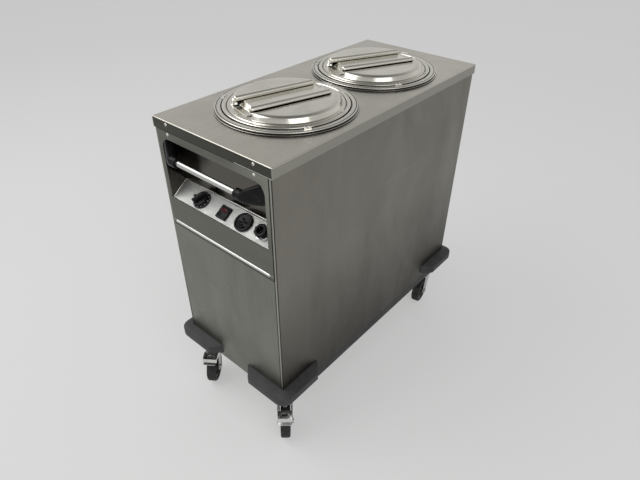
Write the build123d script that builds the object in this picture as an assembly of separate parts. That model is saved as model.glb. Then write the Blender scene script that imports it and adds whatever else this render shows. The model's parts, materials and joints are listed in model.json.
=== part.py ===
from build123d import *
import os
from math import atan2, cos, degrees, hypot, radians, sin, tan

# Heated two-tube plate dispenser cart. Millimetres, +Z up, origin on the floor
# under the middle of the cart. The control and push-handle end faces -Y, and
# left and right are as seen from that end (right is +X).

# --- Overall size -----------------------------------------------------------
TOP_W = 420.0           # table top, across
TOP_L = 900.0           # table top, front to rear
TOP_Z = 950.0           # table top surface above the floor
TOP_SHEET = 1.5
SKIRT_H = 28.0
TOP_EDGE_R = 2.5
SIDE_OVERHANG = 5.0     # the skirt stands this far outside the side panels
END_OVERHANG = 2.0      # and this far outside the casing's end returns
CASE_BOTTOM = 180.0
CASE_SHEET = 1.5
PANEL_RETURN = 18.0     # side panels turn round the corners by this much
TOP_FLANGE = 14.0       # and in under the table top by this much

CASE_X = TOP_W / 2 - SIDE_OVERHANG
CASE_Y = TOP_L / 2 - END_OVERHANG
TOP_UNDER = TOP_Z - TOP_SHEET
SKIRT_BOTTOM = TOP_Z - SKIRT_H

# --- Front and rear sheets ---------------------------------------------------
RETURN_SHOWING = 8.5    # of each side panel's return, beside the end sheets
UPPER_SHEET_T = 2.0
LOWER_SHEET_T = 1.2
SEAM = 1.0              # gap between neighbouring sheets
OPENING_DOWN = 50.0     # top edge of the hand opening, below the table top
OPENING_H = 175.0
OPENING_MARGIN = 12.5   # sheet left on each side of the hand opening
OPENING_R = 30.0
SHEET_BELOW = 91.0      # upper sheet left under the hand opening
BEAD_UP = 12.0          # pressed bead, above the upper sheet's bottom edge
BEAD_MARGIN = 10.5
BEAD_R = 5.0
BEAD_PROUD = 3.0

OPENING_TOP = TOP_Z - OPENING_DOWN
OPENING_BOTTOM = OPENING_TOP - OPENING_H
UPPER_SHEET_BOTTOM = OPENING_BOTTOM - SHEET_BELOW
BEAD_Z = UPPER_SHEET_BOTTOM + BEAD_UP
SHEET_X = CASE_X - RETURN_SHOWING
OPENING_X = SHEET_X - OPENING_MARGIN

# --- Base and rails ----------------------------------------------------------
TRAY_T = 3.0
TRAY_LIP = 20.0
RAIL_W = 70.0           # tubes under the tray that the castors are bolted to
RAIL_H = 40.0
RAIL_WALL = 3.0
TOP_RAIL_T = 2.0        # angles across the casing under the table top
TOP_RAIL_FLANGE = 22.0

# --- Corner bumpers ----------------------------------------------------------
BUMPER_PROUD = 33.5
BUMPER_ARM = 148.0
BUMPER_R = 36.0
BUMPER_UNDER = 15.0     # its underside above the casing's bottom edge
BUMPER_H = 33.0
BUMPER_FALL = 7.5       # its top slopes down to the outside by this much
BUMPER_EDGE = 1.5       # level strip left along the casing

# --- Recess, control panel and push handle -----------------------------------
RECESS_DEPTH = 50.0
RECESS_SHEET = 1.5
CONTROL_SLOPE = 32.0    # degrees from the horizontal
CONTROL_FRONT_Z = OPENING_BOTTOM - 0.5
CONTROL_FLANGE = 16.0
CONTROL_LIP = 5.0
TUBE_R = 7.5
TUBE_WALL = 1.5
TUBE_PROUD = 18.0       # tube axis in front of the casing
TUBE_BELOW = 42.0       # and below the opening's top edge
TUBE_VISIBLE = 213.0    # between the two brackets
TUBE_INSERT = 18.0      # held inside each bracket
BRACKET_COLLAR_R = 13.5
BRACKET_COLLAR = 24.0
BRACKET_NECK_R = 8.0
BRACKET_FOOT_H = 55.0
BRACKET_FOOT_UP = 13.5  # foot's middle above the tube's axis
BRACKET_FOOT_D = 42.0
BRACKET_FOOT_R = 5.0

TUBE_Y = -CASE_Y - TUBE_PROUD
TUBE_Z = OPENING_TOP - TUBE_BELOW

# --- Controls, placed along the panel's middle line ---------------------------
CONTROL_MIDDLE = 29.0   # up the slope from the panel's front edge
KNOB_X = -88.0
KNOB_R = 26.0
KNOB_EDGE = 1.5
KNOB_SKIRT_H = 5.0
KNOB_CAP_R = 19.0
KNOB_CAP_H = 5.0
KNOB_GRIP_H = 22.0
KNOB_GRIP_W = 9.0
KNOB_GRIP_L = 43.0       # the grip bar overhangs the cap at both ends
KNOB_NUB_R = 4.5
KNOB_NUB_H = 10.0
KNOB_NUB_PROUD = 0.5    # past the skirt's edge
KNOB_GAP = 0.5          # between the knob's skirt and the panel
SHAFT_R = 3.0
RUNNING_FIT = 0.06      # radial clearance of a turning shaft
THERMOSTAT_W = 44.0
THERMOSTAT_H = 36.0
THERMOSTAT_D = 26.0
THERMOSTAT_BUSH_R = 6.0
SWITCH_X = 2.0
SWITCH_DOWN = 2.5       # below the controls' middle line
SWITCH_W = 34.0
SWITCH_L = 37.0
SWITCH_FRAME_H = 6.0
SWITCH_FRAME = 4.5      # width of the frame round the rocker
SWITCH_BODY_WALL = 2.5
SWITCH_BODY_D = 24.0
SWITCH_WELL = 9.0       # depth of the well below the panel
ROCKER_GAP = 0.4
ROCKER_TILT = 8.0       # degrees each way from level
ROCKER_PIN_R = 1.6
ROCKER_TOP = 7.0
ROCKER_DIP = 1.6
ROCKER_LOW = 4.0
LENS_T = 1.2
LENS_MARGIN = 2.0
SOCKET_X = 73.0
SOCKET_R = 25.5
SOCKET_H = 7.0
SOCKET_RIM = 5.0
SOCKET_SUNK = 2.5
SOCKET_BODY_R = 19.0
SOCKET_BODY_D = 24.0
SOCKET_HOLE_R = 2.2
SOCKET_HOLE_CIRCLE = 8.5
SOCKET_HOLE_DEPTH = 14.0
SOCKET_KEY_CIRCLE = 14.5
SOCKET_KEY_L = 12.0
SOCKET_KEY_W = 3.4
INLET_X = 141.0
INLET_RING_R = 20.0
INLET_RING_T = 3.0
INLET_ACROSS = 34.0
INLET_H = 15.0
INLET_BORE_R = 10.0
INLET_BORE_DEPTH = 11.0
INLET_STEM_R = 12.0
INLET_STEM = 20.0
INLET_PIN_R = 1.2
INLET_PIN_CIRCLE = 6.0

# --- Dispensers ----------------------------------------------------------------
DISPENSER_SHIFT = 6.0   # both stand this far behind the middle
COLLAR_SPACE = 3.0      # between the two collars
BORE_R = 161.0
BORE_WALL = 1.5
LEDGE_W = 8.0           # the lid's seat, inside the collar's rebate
BAND_W = 13.0           # the collar's flat top band
BAND_FALL = 3.0         # the rounded fall from the band to the foot
FOOT_W = 3.5
COLLAR_FOOT_H = 3.0
COLLAR_H = 8.5
REBATE = 4.5
HOLE_INSET = 2.5        # the collar laps the hole in the table top by this much
LUG_ANGLES = (0.0, 120.0, 240.0)        # degrees from +Y towards +X
LUG_W = 18.0
LUG_D = 8.5
LUG_PROUD = 5.0         # above the collar's band
SPRING_ANGLES = (30.0, 150.0, 270.0)
SPRING_RING_T = 2.0
SPRING_RING_DROP = 6.0  # below the table top's surface
SLOT_W = 14.0
SLOT_BOTTOM_GAP = 22.0  # above the base tray
GUIDE_R = 2.5
GUIDE_GAP = 3.0         # between a guide rod and the tube
GUIDE_DROP = 11.0       # top of the rods below the table top's surface
GUIDE_STAY_DROP = 50.0  # top of the stays below the rods' top
GUIDE_STAY_H = 10.0

REBATE_R = BORE_R + LEDGE_W
BAND_R = REBATE_R + BAND_W
COLLAR_R = BAND_R + BAND_FALL + FOOT_W
HOLE_R = COLLAR_R - HOLE_INSET
DISPENSER_PITCH = 2 * COLLAR_R + COLLAR_SPACE
GUIDE_CIRCLE = BORE_R - GUIDE_GAP - GUIDE_R

PLATFORM_GAP = 2.0      # between the platform and the guide rods
PLATFORM_DROP = 42.0    # platform surface below the table top, empty
PLATFORM_T = 2.0
PLATFORM_RIM = 12.0
PLATFORM_EDGE_R = 3.0
LEG_DROP = 200.0        # from the platform's surface down to the spring arms
LEG_W = 22.0
LEG_CIRCLE = 130.0
ARM_W = 10.0
ARM_T = 3.0
ARM_END = 4.0           # arm beyond the spring's axis
SPRING_OUT = 16.0       # spring axis outside the tube's bore
SPRING_R = 5.5
SPRING_HOOK = 6.0
WIRE_R = 0.9
HOOK_GAP = 0.3
HEATER_R = 110.0
HEATER_TUBE_R = 4.25
HEATER_LEG_H = 9.0
HEATER_FOOT = 12.0
HEATER_FOOT_T = 2.0

PLATFORM_R = GUIDE_CIRCLE - GUIDE_R - PLATFORM_GAP
PLATFORM_Z = TOP_Z - PLATFORM_DROP
SPRING_CIRCLE = BORE_R + SPRING_OUT
SPRING_RING_R = SPRING_CIRCLE + SPRING_R + 1.0

# --- Lids --------------------------------------------------------------------------
LID_TURN = (16.3, 25.5)  # front and rear handle, degrees from +Y towards +X
LID_SHEET = 1.2
LID_RIM_GAP = 3.0        # between the lid's rim and the collar's rebate
LID_RIM_R = 4.0
LID_SEAT_GAP = 0.3
LID_GROOVE_IN = 12.0     # groove's middle, in from the lid's edge
LID_GROOVE_W = 4.0
LID_GROOVE = 2.5
LID_SKIRT_GAP = 4.8      # between the lid's skirt and the bore
LID_SKIRT_H = 12.0
PAN_IN = 21.0            # foot of the raised pans, in from the lid's edge
PAN_CHORD = 46.0         # foot of the pans either side of the handle
PAN_H = 16.0
PAN_DRAFT = 26.0
PAN_EDGE_R = 3.0
GRIP_LENGTH = 236.0
GRIP_STRAP = 208.0       # level part of the strap, between its two bends
GRIP_LEG_RUN = 12.0      # each leg leans out by this
GRIP_BEAD_R = 8.0
GRIP_BEAD_END_R = 4.8
GRIP_BEAD_OFFSET = 42.4
GRIP_BEAD_ABOVE = 18.0   # bead axis above the lid's floor
GRIP_BEAD_SHIFT = 9.0    # beads' middle, from the lid's middle towards the controls
GRIP_STRAP_T = 1.5
GRIP_FOOT = 16.0

LID_EDGE_R = REBATE_R - LID_RIM_GAP
LID_SEAT = TOP_Z + COLLAR_H - REBATE
LID_FLOOR = LID_SEAT + LID_SEAT_GAP + 2 * LID_RIM_R - 0.3

# --- Castors -------------------------------------------------------------------------
CASTOR_INSET = 43.0      # swivel axis from the table top's edges
CASTOR_TRAIL = 34.0
WHEEL_R = 50.0
WHEEL_W = 29.0
TYRE_T = 14.0
TYRE_EDGE_R = 5.0
TYRE_LIP = 2.0
HUB_R = 12.0
HUB_W = 31.0
RIM_WEB = 12.0
AXLE_R = 5.0
NUT_R = 8.5
NUT_H = 5.0
FORK_PLATE = 3.0
FORK_SIDE_GAP = 2.0      # between the hub's end and the fork
FORK_EYE_R = 12.0
CROWN_R = 27.0
CROWN_H = 12.0
CROWN_TOP_T = 4.0
CROWN_EDGE_R = 3.0
KINGPIN_R = 6.0
KINGPIN_HEAD_R = 10.0
KINGPIN_HEAD_H = 4.0
CASTOR_PLATE = 70.0
CASTOR_PLATE_R = 6.0
CASTOR_PLATE_T = 4.0
RACE_R = 25.0
RACE_H = 5.0
BOLT_PITCH = 46.0
BOLT_R = 4.0
BOLT_HEAD_R = 6.5
BOLT_HEAD_H = 5.0
BOLT_END = 6.0           # thread past the rail's wall
FLAT_GAP = 0.3           # between flat faces that turn past each other
CASTORS = {              # corner signs and the way each wheel trails
    "front_left": (-1, -1, 36.0),
    "front_right": (1, -1, 43.0),
    "rear_left": (-1, 1, 24.0),
    "rear_right": (1, 1, 10.0),
}
PEDAL_LIFT = {"front_left": 14.0, "front_right": 0.0}   # degrees above pressed
PEDAL_PIVOT_R = 3.0
PEDAL_PIVOT_ABOVE = 9.0  # pivot above the tread
PEDAL_PIVOT_BACK = 18.0  # degrees about the axle, towards the swivel axis
PEDAL_ABOVE = 15.0       # plate above the tread
PEDAL_NEAR = 9.0         # plate's two edges, degrees about the axle from upright
PEDAL_FAR = 31.0
PEDAL_LIP = 16.0         # and the lip beyond it, in degrees
PEDAL_STEP = 5.0         # how far the lip steps down
PEDAL_T = 2.5
PEDAL_SIDE_GAP = 0.5     # between the pedal's arms and the fork
PEDAL_EYE_R = 7.0
PEDAL_SLOT_L = 20.0
PEDAL_SLOT_W = 6.0
PEDAL_LIP_W = 38.0

# --- Screws ---------------------------------------------------------------------------
SCREW_HEAD_R = 4.5
SCREW_HEAD_H = 2.6
SCREW_SHANK_R = 2.0
SCREW_REACH = 9.0        # shank, from the outside of the table top's skirt
SCREW_IN = 56.0          # screws in from the table top's sides
SKIRT_SCREW_DOWN = 9.0
SHEET_SCREW_UP = 14.5    # above the hand opening


def folded(points, thickness):
    """Section of a folded sheet: the line through points, thickened to its right."""
    def right_of(a, b):
        length = hypot(b[0] - a[0], b[1] - a[1])
        return ((b[1] - a[1]) / length, -(b[0] - a[0]) / length)

    inner = []
    last = len(points) - 1
    for i, (x, y) in enumerate(points):
        before = right_of(points[i - 1], points[i]) if i > 0 else None
        after = right_of(points[i], points[i + 1]) if i < last else None
        before = before or after
        after = after or before
        mitre = 1 + before[0] * after[0] + before[1] * after[1]
        inner.append((x + thickness * (before[0] + after[0]) / mitre,
                      y + thickness * (before[1] + after[1]) / mitre))
    return make_face(Polyline(*points, *reversed(inner), close=True))


def block(x, y, z):
    """Box between two limits on each axis."""
    box = Box(x[1] - x[0], y[1] - y[0], z[1] - z[0])
    return Pos((x[0] + x[1]) / 2, (y[0] + y[1]) / 2, (z[0] + z[1]) / 2) * box


def disc(radius, low, high, x=0.0, y=0.0):
    """Upright cylinder between two heights."""
    return Pos(x, y, (low + high) / 2) * Cylinder(radius, high - low)


def ring(outer, inner, low, high):
    """Upright tube between two heights."""
    return disc(outer, low, high) - disc(inner, low - 1, high + 1)


def turned(solid, angle, centre=(0.0, 0.0)):
    """Turned about the Z axis, from +Y towards +X, then moved to centre."""
    return Pos(centre[0], centre[1], 0) * (Rot(0, 0, -angle) * solid)


def revolved(points):
    """Closed outline of (radius, height) points revolved about the Z axis."""
    return revolve(Plane.XZ * make_face(Polyline(*points, close=True)), Axis.Z)


def section_yz(face, x_low, x_high):
    """A section drawn in Y and Z, run along X."""
    plane = Plane(origin=(x_low, 0, 0), x_dir=(0, 1, 0), z_dir=(1, 0, 0))
    return extrude(plane * face, x_high - x_low)


def crosswise(radius, length, x=0.0, y=0.0, z=0.0):
    """Cylinder along X with its middle at a point."""
    return Pos(x, y, z) * (Rot(0, 90, 0) * Cylinder(radius, length))


def control_place(x, above=0.0, down=0.0):
    """Place on the sloping control panel, with Z standing out of the panel."""
    slope = radians(CONTROL_SLOPE)
    up = CONTROL_MIDDLE - down
    y = -CASE_Y + up * cos(slope) - above * sin(slope)
    z = CONTROL_FRONT_Z + up * sin(slope) + above * cos(slope)
    return Pos(x, y, z) * Rot(CONTROL_SLOPE, 0, 0)


def dispenser_centres():
    """Middle of each dispenser, by name."""
    return {"front": (0.0, DISPENSER_SHIFT - DISPENSER_PITCH / 2),
            "rear": (0.0, DISPENSER_SHIFT + DISPENSER_PITCH / 2)}


# --- Casing --------------------------------------------------------------------------

def top_plate():
    """Table top with a turned-down skirt, two dispenser holes and screw holes."""
    body = block((-TOP_W / 2, TOP_W / 2), (-TOP_L / 2, TOP_L / 2), (SKIRT_BOTTOM, TOP_Z))
    upright = body.edges().filter_by(Axis.Z)
    top_edges = body.faces().sort_by(Axis.Z)[-1].edges()
    body = fillet(upright + top_edges, TOP_EDGE_R)
    half_w = TOP_W / 2 - TOP_SHEET
    half_l = TOP_L / 2 - TOP_SHEET
    body -= block((-half_w, half_w), (-half_l, half_l), (SKIRT_BOTTOM - 1, TOP_UNDER))
    for x, y in dispenser_centres().values():
        body -= disc(HOLE_R, TOP_UNDER - 1, TOP_Z + 1, x, y)
    return body - screw_holes()


def side_panel(side):
    """One folded sheet: web, a return at each end and a flange under the top."""
    edge = CASE_X - PANEL_RETURN
    profile = folded([(edge, CASE_Y), (CASE_X, CASE_Y), (CASE_X, -CASE_Y), (edge, -CASE_Y)],
                     CASE_SHEET)
    body = Pos(0, 0, CASE_BOTTOM) * extrude(profile, TOP_UNDER - CASE_BOTTOM)
    flange_x = (CASE_X - TOP_FLANGE, CASE_X - CASE_SHEET)
    inner_y = CASE_Y - CASE_SHEET
    body += block(flange_x, (-inner_y, inner_y), (TOP_UNDER - CASE_SHEET, TOP_UNDER))
    return body if side > 0 else mirror(body, Plane.YZ)


def hand_opening():
    """Outline of the hand opening in X and Z, rounded at its top corners."""
    opening = Rectangle(2 * OPENING_X, OPENING_TOP - OPENING_BOTTOM)
    opening = fillet(opening.vertices().group_by(Axis.Y)[-1], OPENING_R)
    return Pos(0, (OPENING_TOP + OPENING_BOTTOM) / 2) * opening


def front_upper_sheet():
    """Outer sheet at the control end, with the hand opening and a pressed bead."""
    top = SKIRT_BOTTOM - SEAM
    outline = Pos(0, (top + UPPER_SHEET_BOTTOM) / 2) * Rectangle(2 * SHEET_X, top - UPPER_SHEET_BOTTOM)
    front = Plane(origin=(0, -CASE_Y, 0), x_dir=(1, 0, 0), z_dir=(0, -1, 0))
    body = extrude(front * (outline - hand_opening()), UPPER_SHEET_T)
    return body + pressed_bead() - screw_holes()


def pressed_bead():
    """Round-ended rib that stands out of the upper sheet along its bottom edge."""
    reach = SHEET_X - BEAD_MARGIN - BEAD_R
    y = -CASE_Y - UPPER_SHEET_T - BEAD_PROUD + BEAD_R
    bead = crosswise(BEAD_R, 2 * reach, 0, y, BEAD_Z)
    for x in (-reach, reach):
        bead += Pos(x, y, BEAD_Z) * Sphere(BEAD_R)
    outside = (-CASE_Y - UPPER_SHEET_T - 2 * BEAD_PROUD, -CASE_Y - UPPER_SHEET_T / 2)
    return bead & block((-SHEET_X, SHEET_X), outside, (BEAD_Z - BEAD_R, BEAD_Z + BEAD_R))


def plain_sheet(bottom, top, end):
    """Plain end sheet between two heights."""
    inner, outer = sorted((end * CASE_Y, end * (CASE_Y + LOWER_SHEET_T)))
    return block((-SHEET_X, SHEET_X), (inner, outer), (bottom, top)) - screw_holes()


def base_tray():
    """Floor of the casing, a shallow tray between the panels."""
    half_x = CASE_X - CASE_SHEET
    half_y = CASE_Y - CASE_SHEET
    low, high = CASE_BOTTOM, CASE_BOTTOM + TRAY_LIP
    body = block((-half_x, half_x), (-half_y, half_y), (low, high))
    inner_x, inner_y = half_x - TRAY_T, half_y - TRAY_T
    return body - block((-inner_x, inner_x), (-inner_y, inner_y), (low + TRAY_T, high + 1))


def base_rails():
    """Two tubes under the tray, drilled for the castors' bolts."""
    rails = []
    half_y = TOP_L / 2 - CASTOR_INSET + CASTOR_PLATE / 2
    low, high = CASE_BOTTOM - RAIL_H, CASE_BOTTOM
    half_x = RAIL_W / 2
    inner_x = half_x - RAIL_WALL
    for side in (-1, 1):
        body = block((-half_x, half_x), (-half_y, half_y), (low, high))
        body -= block((-inner_x, inner_x), (-half_y - 1, half_y + 1), (low + RAIL_WALL, high - RAIL_WALL))
        for end in (-1, 1):
            for dx, dy in bolt_offsets():
                body -= disc(BOLT_R, low - 1, low + RAIL_WALL + 1, dx, end * (TOP_L / 2 - CASTOR_INSET) + dy)
        rails.append(Pos(side * (TOP_W / 2 - CASTOR_INSET), 0, 0) * body)
    return Compound(children=rails)


def top_rails():
    """Angles across the casing, behind the end sheets and under the panel flanges."""
    rails = []
    outer = CASE_Y - CASE_SHEET
    top = TOP_UNDER - CASE_SHEET
    low = OPENING_TOP + RECESS_SHEET
    section = folded([(-outer, low), (-outer, top), (-outer + TOP_RAIL_FLANGE, top)], TOP_RAIL_T)
    reach = CASE_X - CASE_SHEET
    front = section_yz(section, -reach, reach)
    for rail in (front, mirror(front, Plane.XZ)):
        rails.append(rail - screw_holes())
    return Compound(children=rails)


def bumper(side, end):
    """L-shaped buffer round one corner; drawn at the right rear and mirrored."""
    face_y = CASE_Y + LOWER_SHEET_T
    out_x, out_y = CASE_X + BUMPER_PROUD, CASE_Y + BUMPER_PROUD
    end_x, end_y = CASE_X - BUMPER_ARM, CASE_Y - BUMPER_ARM
    outline = make_face(Polyline((end_x, face_y), (end_x + out_y - face_y, out_y), (out_x, out_y),
                                 (out_x, end_y + BUMPER_PROUD), (CASE_X, end_y), (CASE_X, face_y),
                                 close=True))
    outline = fillet(outline.vertices().sort_by(lambda v: v.X + v.Y)[-1], BUMPER_R)
    body = Pos(0, 0, CASE_BOTTOM + BUMPER_UNDER) * extrude(outline, BUMPER_H)
    top = body.faces().sort_by(Axis.Z)[-1]
    rim = [edge for edge in top.edges() if edge.geom_type == GeomType.CIRCLE
           or abs(edge.center().X - out_x) < 0.01 or abs(edge.center().Y - out_y) < 0.01]
    body = chamfer(rim, out_y - face_y - BUMPER_EDGE, BUMPER_FALL, reference=top)
    body = body if side > 0 else mirror(body, Plane.YZ)
    return body if end > 0 else mirror(body, Plane.XZ)


# --- Recess, controls and push handle ------------------------------------------------

def recess_box():
    """Open-fronted box behind the hand opening: two sides, back and top."""
    t = RECESS_SHEET
    front, back = -CASE_Y, -CASE_Y + RECESS_DEPTH
    low = CONTROL_FRONT_Z - CONTROL_FLANGE
    body = block((-OPENING_X - t, OPENING_X + t), (front, back + t), (low, OPENING_TOP + t))
    body -= block((-OPENING_X, OPENING_X), (front - 1, back), (low - 1, OPENING_TOP))
    panel_back = CONTROL_FRONT_Z + (RECESS_DEPTH - t) * tan(radians(CONTROL_SLOPE))
    body -= block((-OPENING_X, OPENING_X), (back - 1, back + t + 1), (low - 1, panel_back - 2 * t))
    return body


def control_panel():
    """Sloping panel: front flange, slope and a short upright lip at the back."""
    front = -CASE_Y
    lip_y = front + RECESS_DEPTH - RECESS_SHEET
    lip_z = CONTROL_FRONT_Z + (lip_y - front) * tan(radians(CONTROL_SLOPE))
    section = folded([(front, CONTROL_FRONT_Z - CONTROL_FLANGE), (front, CONTROL_FRONT_Z),
                      (lip_y, lip_z), (lip_y, lip_z + CONTROL_LIP)], RECESS_SHEET)
    body = section_yz(section, -OPENING_X, OPENING_X)
    cut = 2 * RECESS_SHEET
    body -= control_place(KNOB_X) * extrude(Circle(THERMOSTAT_BUSH_R), cut, both=True)
    body -= control_place(SWITCH_X, down=SWITCH_DOWN) * extrude(switch_body_outline(), cut, both=True)
    body -= control_place(SOCKET_X) * extrude(Circle(SOCKET_BODY_R), cut, both=True)
    body -= control_place(INLET_X) * extrude(Circle(INLET_STEM_R), cut, both=True)
    return body


def push_tube():
    """Round tube that the cart is pushed by."""
    length = TUBE_VISIBLE + 2 * TUBE_INSERT
    body = crosswise(TUBE_R, length, 0, TUBE_Y, TUBE_Z)
    return body - crosswise(TUBE_R - TUBE_WALL, length + 2, 0, TUBE_Y, TUBE_Z)


def handle_bracket(side):
    """Moulded bracket: a tall foot on the recess wall, drawn in to a collar on the tube.

    In front of the casing it keeps inside the hand opening's rounded corner.
    """
    tube_end = TUBE_VISIBLE / 2
    foot_y = -CASE_Y + BRACKET_FOOT_D / 2 + 1.0
    neck_x = tube_end + BRACKET_COLLAR / 2
    foot_z = TUBE_Z + BRACKET_FOOT_UP
    foot_plane = Plane(origin=(OPENING_X, foot_y, foot_z), x_dir=(0, 1, 0), z_dir=(1, 0, 0))
    neck_plane = Plane(origin=(neck_x, TUBE_Y, TUBE_Z), x_dir=(0, 1, 0), z_dir=(1, 0, 0))
    neck_w = 1.85 * BRACKET_COLLAR_R
    foot = foot_plane * RectangleRounded(BRACKET_FOOT_D, BRACKET_FOOT_H, BRACKET_FOOT_R)
    neck = neck_plane * RectangleRounded(neck_w, neck_w, BRACKET_NECK_R)
    body = loft([neck, foot])
    body += crosswise(BRACKET_COLLAR_R, BRACKET_COLLAR, neck_x, TUBE_Y, TUBE_Z)
    body -= crosswise(TUBE_R, 2 * TUBE_INSERT, tube_end, TUBE_Y, TUBE_Z)
    front = Plane(origin=(0, -CASE_Y, 0), x_dir=(1, 0, 0), z_dir=(0, -1, 0))
    round_opening = Pos(0, TUBE_Z) * Rectangle(TOP_W, 2 * BRACKET_FOOT_H) - hand_opening()
    body -= extrude(front * round_opening, 2 * TUBE_PROUD)
    return body if side > 0 else mirror(body, Plane.YZ)


def thermostat():
    """Switch body behind the panel with the bush that the knob's shaft turns in."""
    body = extrude(Rectangle(THERMOSTAT_W, THERMOSTAT_H), -THERMOSTAT_D)
    body += extrude(Circle(THERMOSTAT_BUSH_R), RECESS_SHEET)
    bore = extrude(Circle(SHAFT_R + RUNNING_FIT), THERMOSTAT_D / 2, both=True)
    return control_place(KNOB_X, -RECESS_SHEET) * (body - bore)


def thermostat_knob():
    """Skirted pointer knob with a raised grip bar, and the shaft that it turns."""
    cap_top = KNOB_SKIRT_H + KNOB_CAP_H
    body = revolved([(0, 0), (KNOB_R, 0), (KNOB_R, KNOB_EDGE), (KNOB_CAP_R + 1, KNOB_SKIRT_H),
                     (KNOB_CAP_R, cap_top), (0, cap_top)])
    grip = extrude(SlotOverall(KNOB_GRIP_L, KNOB_GRIP_W), KNOB_GRIP_H)
    grip = fillet(grip.faces().sort_by(Axis.Z)[-1].edges(), KNOB_GRIP_W / 6)
    nub_x = KNOB_R + KNOB_NUB_PROUD - KNOB_NUB_R
    nub = Pos(-nub_x, 0, 0) * extrude(Circle(KNOB_NUB_R), KNOB_NUB_H)
    shaft = extrude(Circle(SHAFT_R), -(THERMOSTAT_D / 2 + KNOB_GAP - 1))
    return control_place(KNOB_X, KNOB_GAP) * (body + grip + nub + shaft)


def switch_body_outline():
    """Outline of the switch where it passes through the panel."""
    well_w, well_l = SWITCH_W - 2 * SWITCH_FRAME, SWITCH_L - 2 * SWITCH_FRAME
    return Rectangle(well_w + 2 * SWITCH_BODY_WALL, well_l + 2 * SWITCH_BODY_WALL)


def switch_housing():
    """Snap-in switch body with a raised frame and a pin across it for the rocker."""
    well_w, well_l = SWITCH_W - 2 * SWITCH_FRAME, SWITCH_L - 2 * SWITCH_FRAME
    body = extrude(RectangleRounded(SWITCH_W, SWITCH_L, SWITCH_BODY_WALL), SWITCH_FRAME_H)
    body = chamfer(body.faces().sort_by(Axis.Z)[-1].edges(), SWITCH_FRAME / 4)
    body += extrude(switch_body_outline(), -SWITCH_BODY_D)
    body -= Pos(0, 0, -SWITCH_WELL) * extrude(Rectangle(well_w, well_l), SWITCH_WELL + 2 * SWITCH_FRAME_H)
    body += crosswise(ROCKER_PIN_R, well_w + SWITCH_BODY_WALL)
    return control_place(SWITCH_X, down=SWITCH_DOWN) * body


def rocker_place():
    """Place of the rocker's pivot, tipped to the off position."""
    return control_place(SWITCH_X, down=SWITCH_DOWN) * Rot(ROCKER_TILT, 0, 0)


def rocker_half_length():
    """Half the rocker, short enough to tip inside its frame."""
    half_well = SWITCH_L / 2 - SWITCH_FRAME
    return (half_well - ROCKER_GAP - ROCKER_TOP * sin(radians(ROCKER_TILT))) / cos(radians(ROCKER_TILT))


def lens_pocket(low):
    """Solid over the rocker's upper half, from a depth below its face upwards."""
    half_w = SWITCH_W / 2 - SWITCH_FRAME - ROCKER_GAP - LENS_MARGIN
    length = rocker_half_length()
    slope = degrees(atan2(ROCKER_DIP, length))
    plate = block((-half_w, half_w), (LENS_MARGIN, length - LENS_MARGIN), (low, 0))
    return Pos(0, 0, ROCKER_TOP - ROCKER_DIP) * (Rot(slope, 0, 0) * plate)


def switch_rocker():
    """Rocker with two pressing faces that meet in a shallow valley, and its pivot bore."""
    half_w = SWITCH_W / 2 - SWITCH_FRAME - ROCKER_GAP
    length = rocker_half_length()
    section = make_face(Polyline((-length, ROCKER_TOP), (0, ROCKER_TOP - ROCKER_DIP), (length, ROCKER_TOP),
                                 (length / 2, -ROCKER_LOW), (-length / 2, -ROCKER_LOW), close=True))
    body = section_yz(section, -half_w, half_w)
    body -= crosswise(ROCKER_PIN_R + RUNNING_FIT, 2 * half_w + 2)
    return rocker_place() * (body - lens_pocket(-LENS_T))


def switch_lens():
    """Window let into the rocker's upper half."""
    return rocker_place() * lens_pocket(-LENS_T)


def storage_socket():
    """Round socket with four contact holes and a key slot in a sunk face."""
    face = SOCKET_H - SOCKET_SUNK
    body = extrude(Circle(SOCKET_R), SOCKET_H)
    body = fillet(body.faces().sort_by(Axis.Z)[-1].edges(), SOCKET_RIM / 3)
    body -= Pos(0, 0, face) * extrude(Circle(SOCKET_R - SOCKET_RIM), SOCKET_H)
    body += extrude(Circle(SOCKET_BODY_R), -SOCKET_BODY_D)
    hole = Pos(SOCKET_HOLE_CIRCLE, 0, face) * extrude(Circle(SOCKET_HOLE_R), -SOCKET_HOLE_DEPTH)
    for i in range(4):
        body -= Rot(0, 0, 90 * i + 20) * hole
    key = extrude(SlotOverall(SOCKET_KEY_L, SOCKET_KEY_W), -SOCKET_SUNK * 2)
    key = Pos(0, -SOCKET_KEY_CIRCLE, face) * key
    body -= Rot(0, 0, 35) * key
    return control_place(SOCKET_X) * body


def inlet_ring():
    """Bright ring between the inlet and the panel."""
    body = revolved([(INLET_STEM_R, 0), (INLET_RING_R, 0), (INLET_RING_R, INLET_RING_T - 1),
                     (INLET_RING_R - 1, INLET_RING_T), (INLET_STEM_R, INLET_RING_T)])
    return control_place(INLET_X) * body


def supply_inlet():
    """Eight-sided inlet on its ring, with the mouth that the supply plug enters."""
    across = INLET_ACROSS / 2 / cos(radians(22.5))
    mouth = INLET_RING_T + INLET_H
    body = Pos(0, 0, INLET_RING_T) * extrude(RegularPolygon(across, 8), INLET_H)
    body = chamfer(body.faces().sort_by(Axis.Z)[-1].edges(), 1.5)
    body += extrude(Circle(INLET_STEM_R), INLET_RING_T)
    body += extrude(Circle(INLET_STEM_R), -INLET_STEM)
    body -= Pos(0, 0, mouth) * extrude(Circle(INLET_BORE_R), -INLET_BORE_DEPTH)
    pin = extrude(Circle(INLET_PIN_R), INLET_BORE_DEPTH - 2)
    pin = Pos(INLET_PIN_CIRCLE, 0, mouth - INLET_BORE_DEPTH) * pin
    for i in range(3):
        body += Rot(0, 0, 120 * i - 90) * pin
    return control_place(INLET_X) * body


# --- Dispensers ------------------------------------------------------------------------

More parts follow.
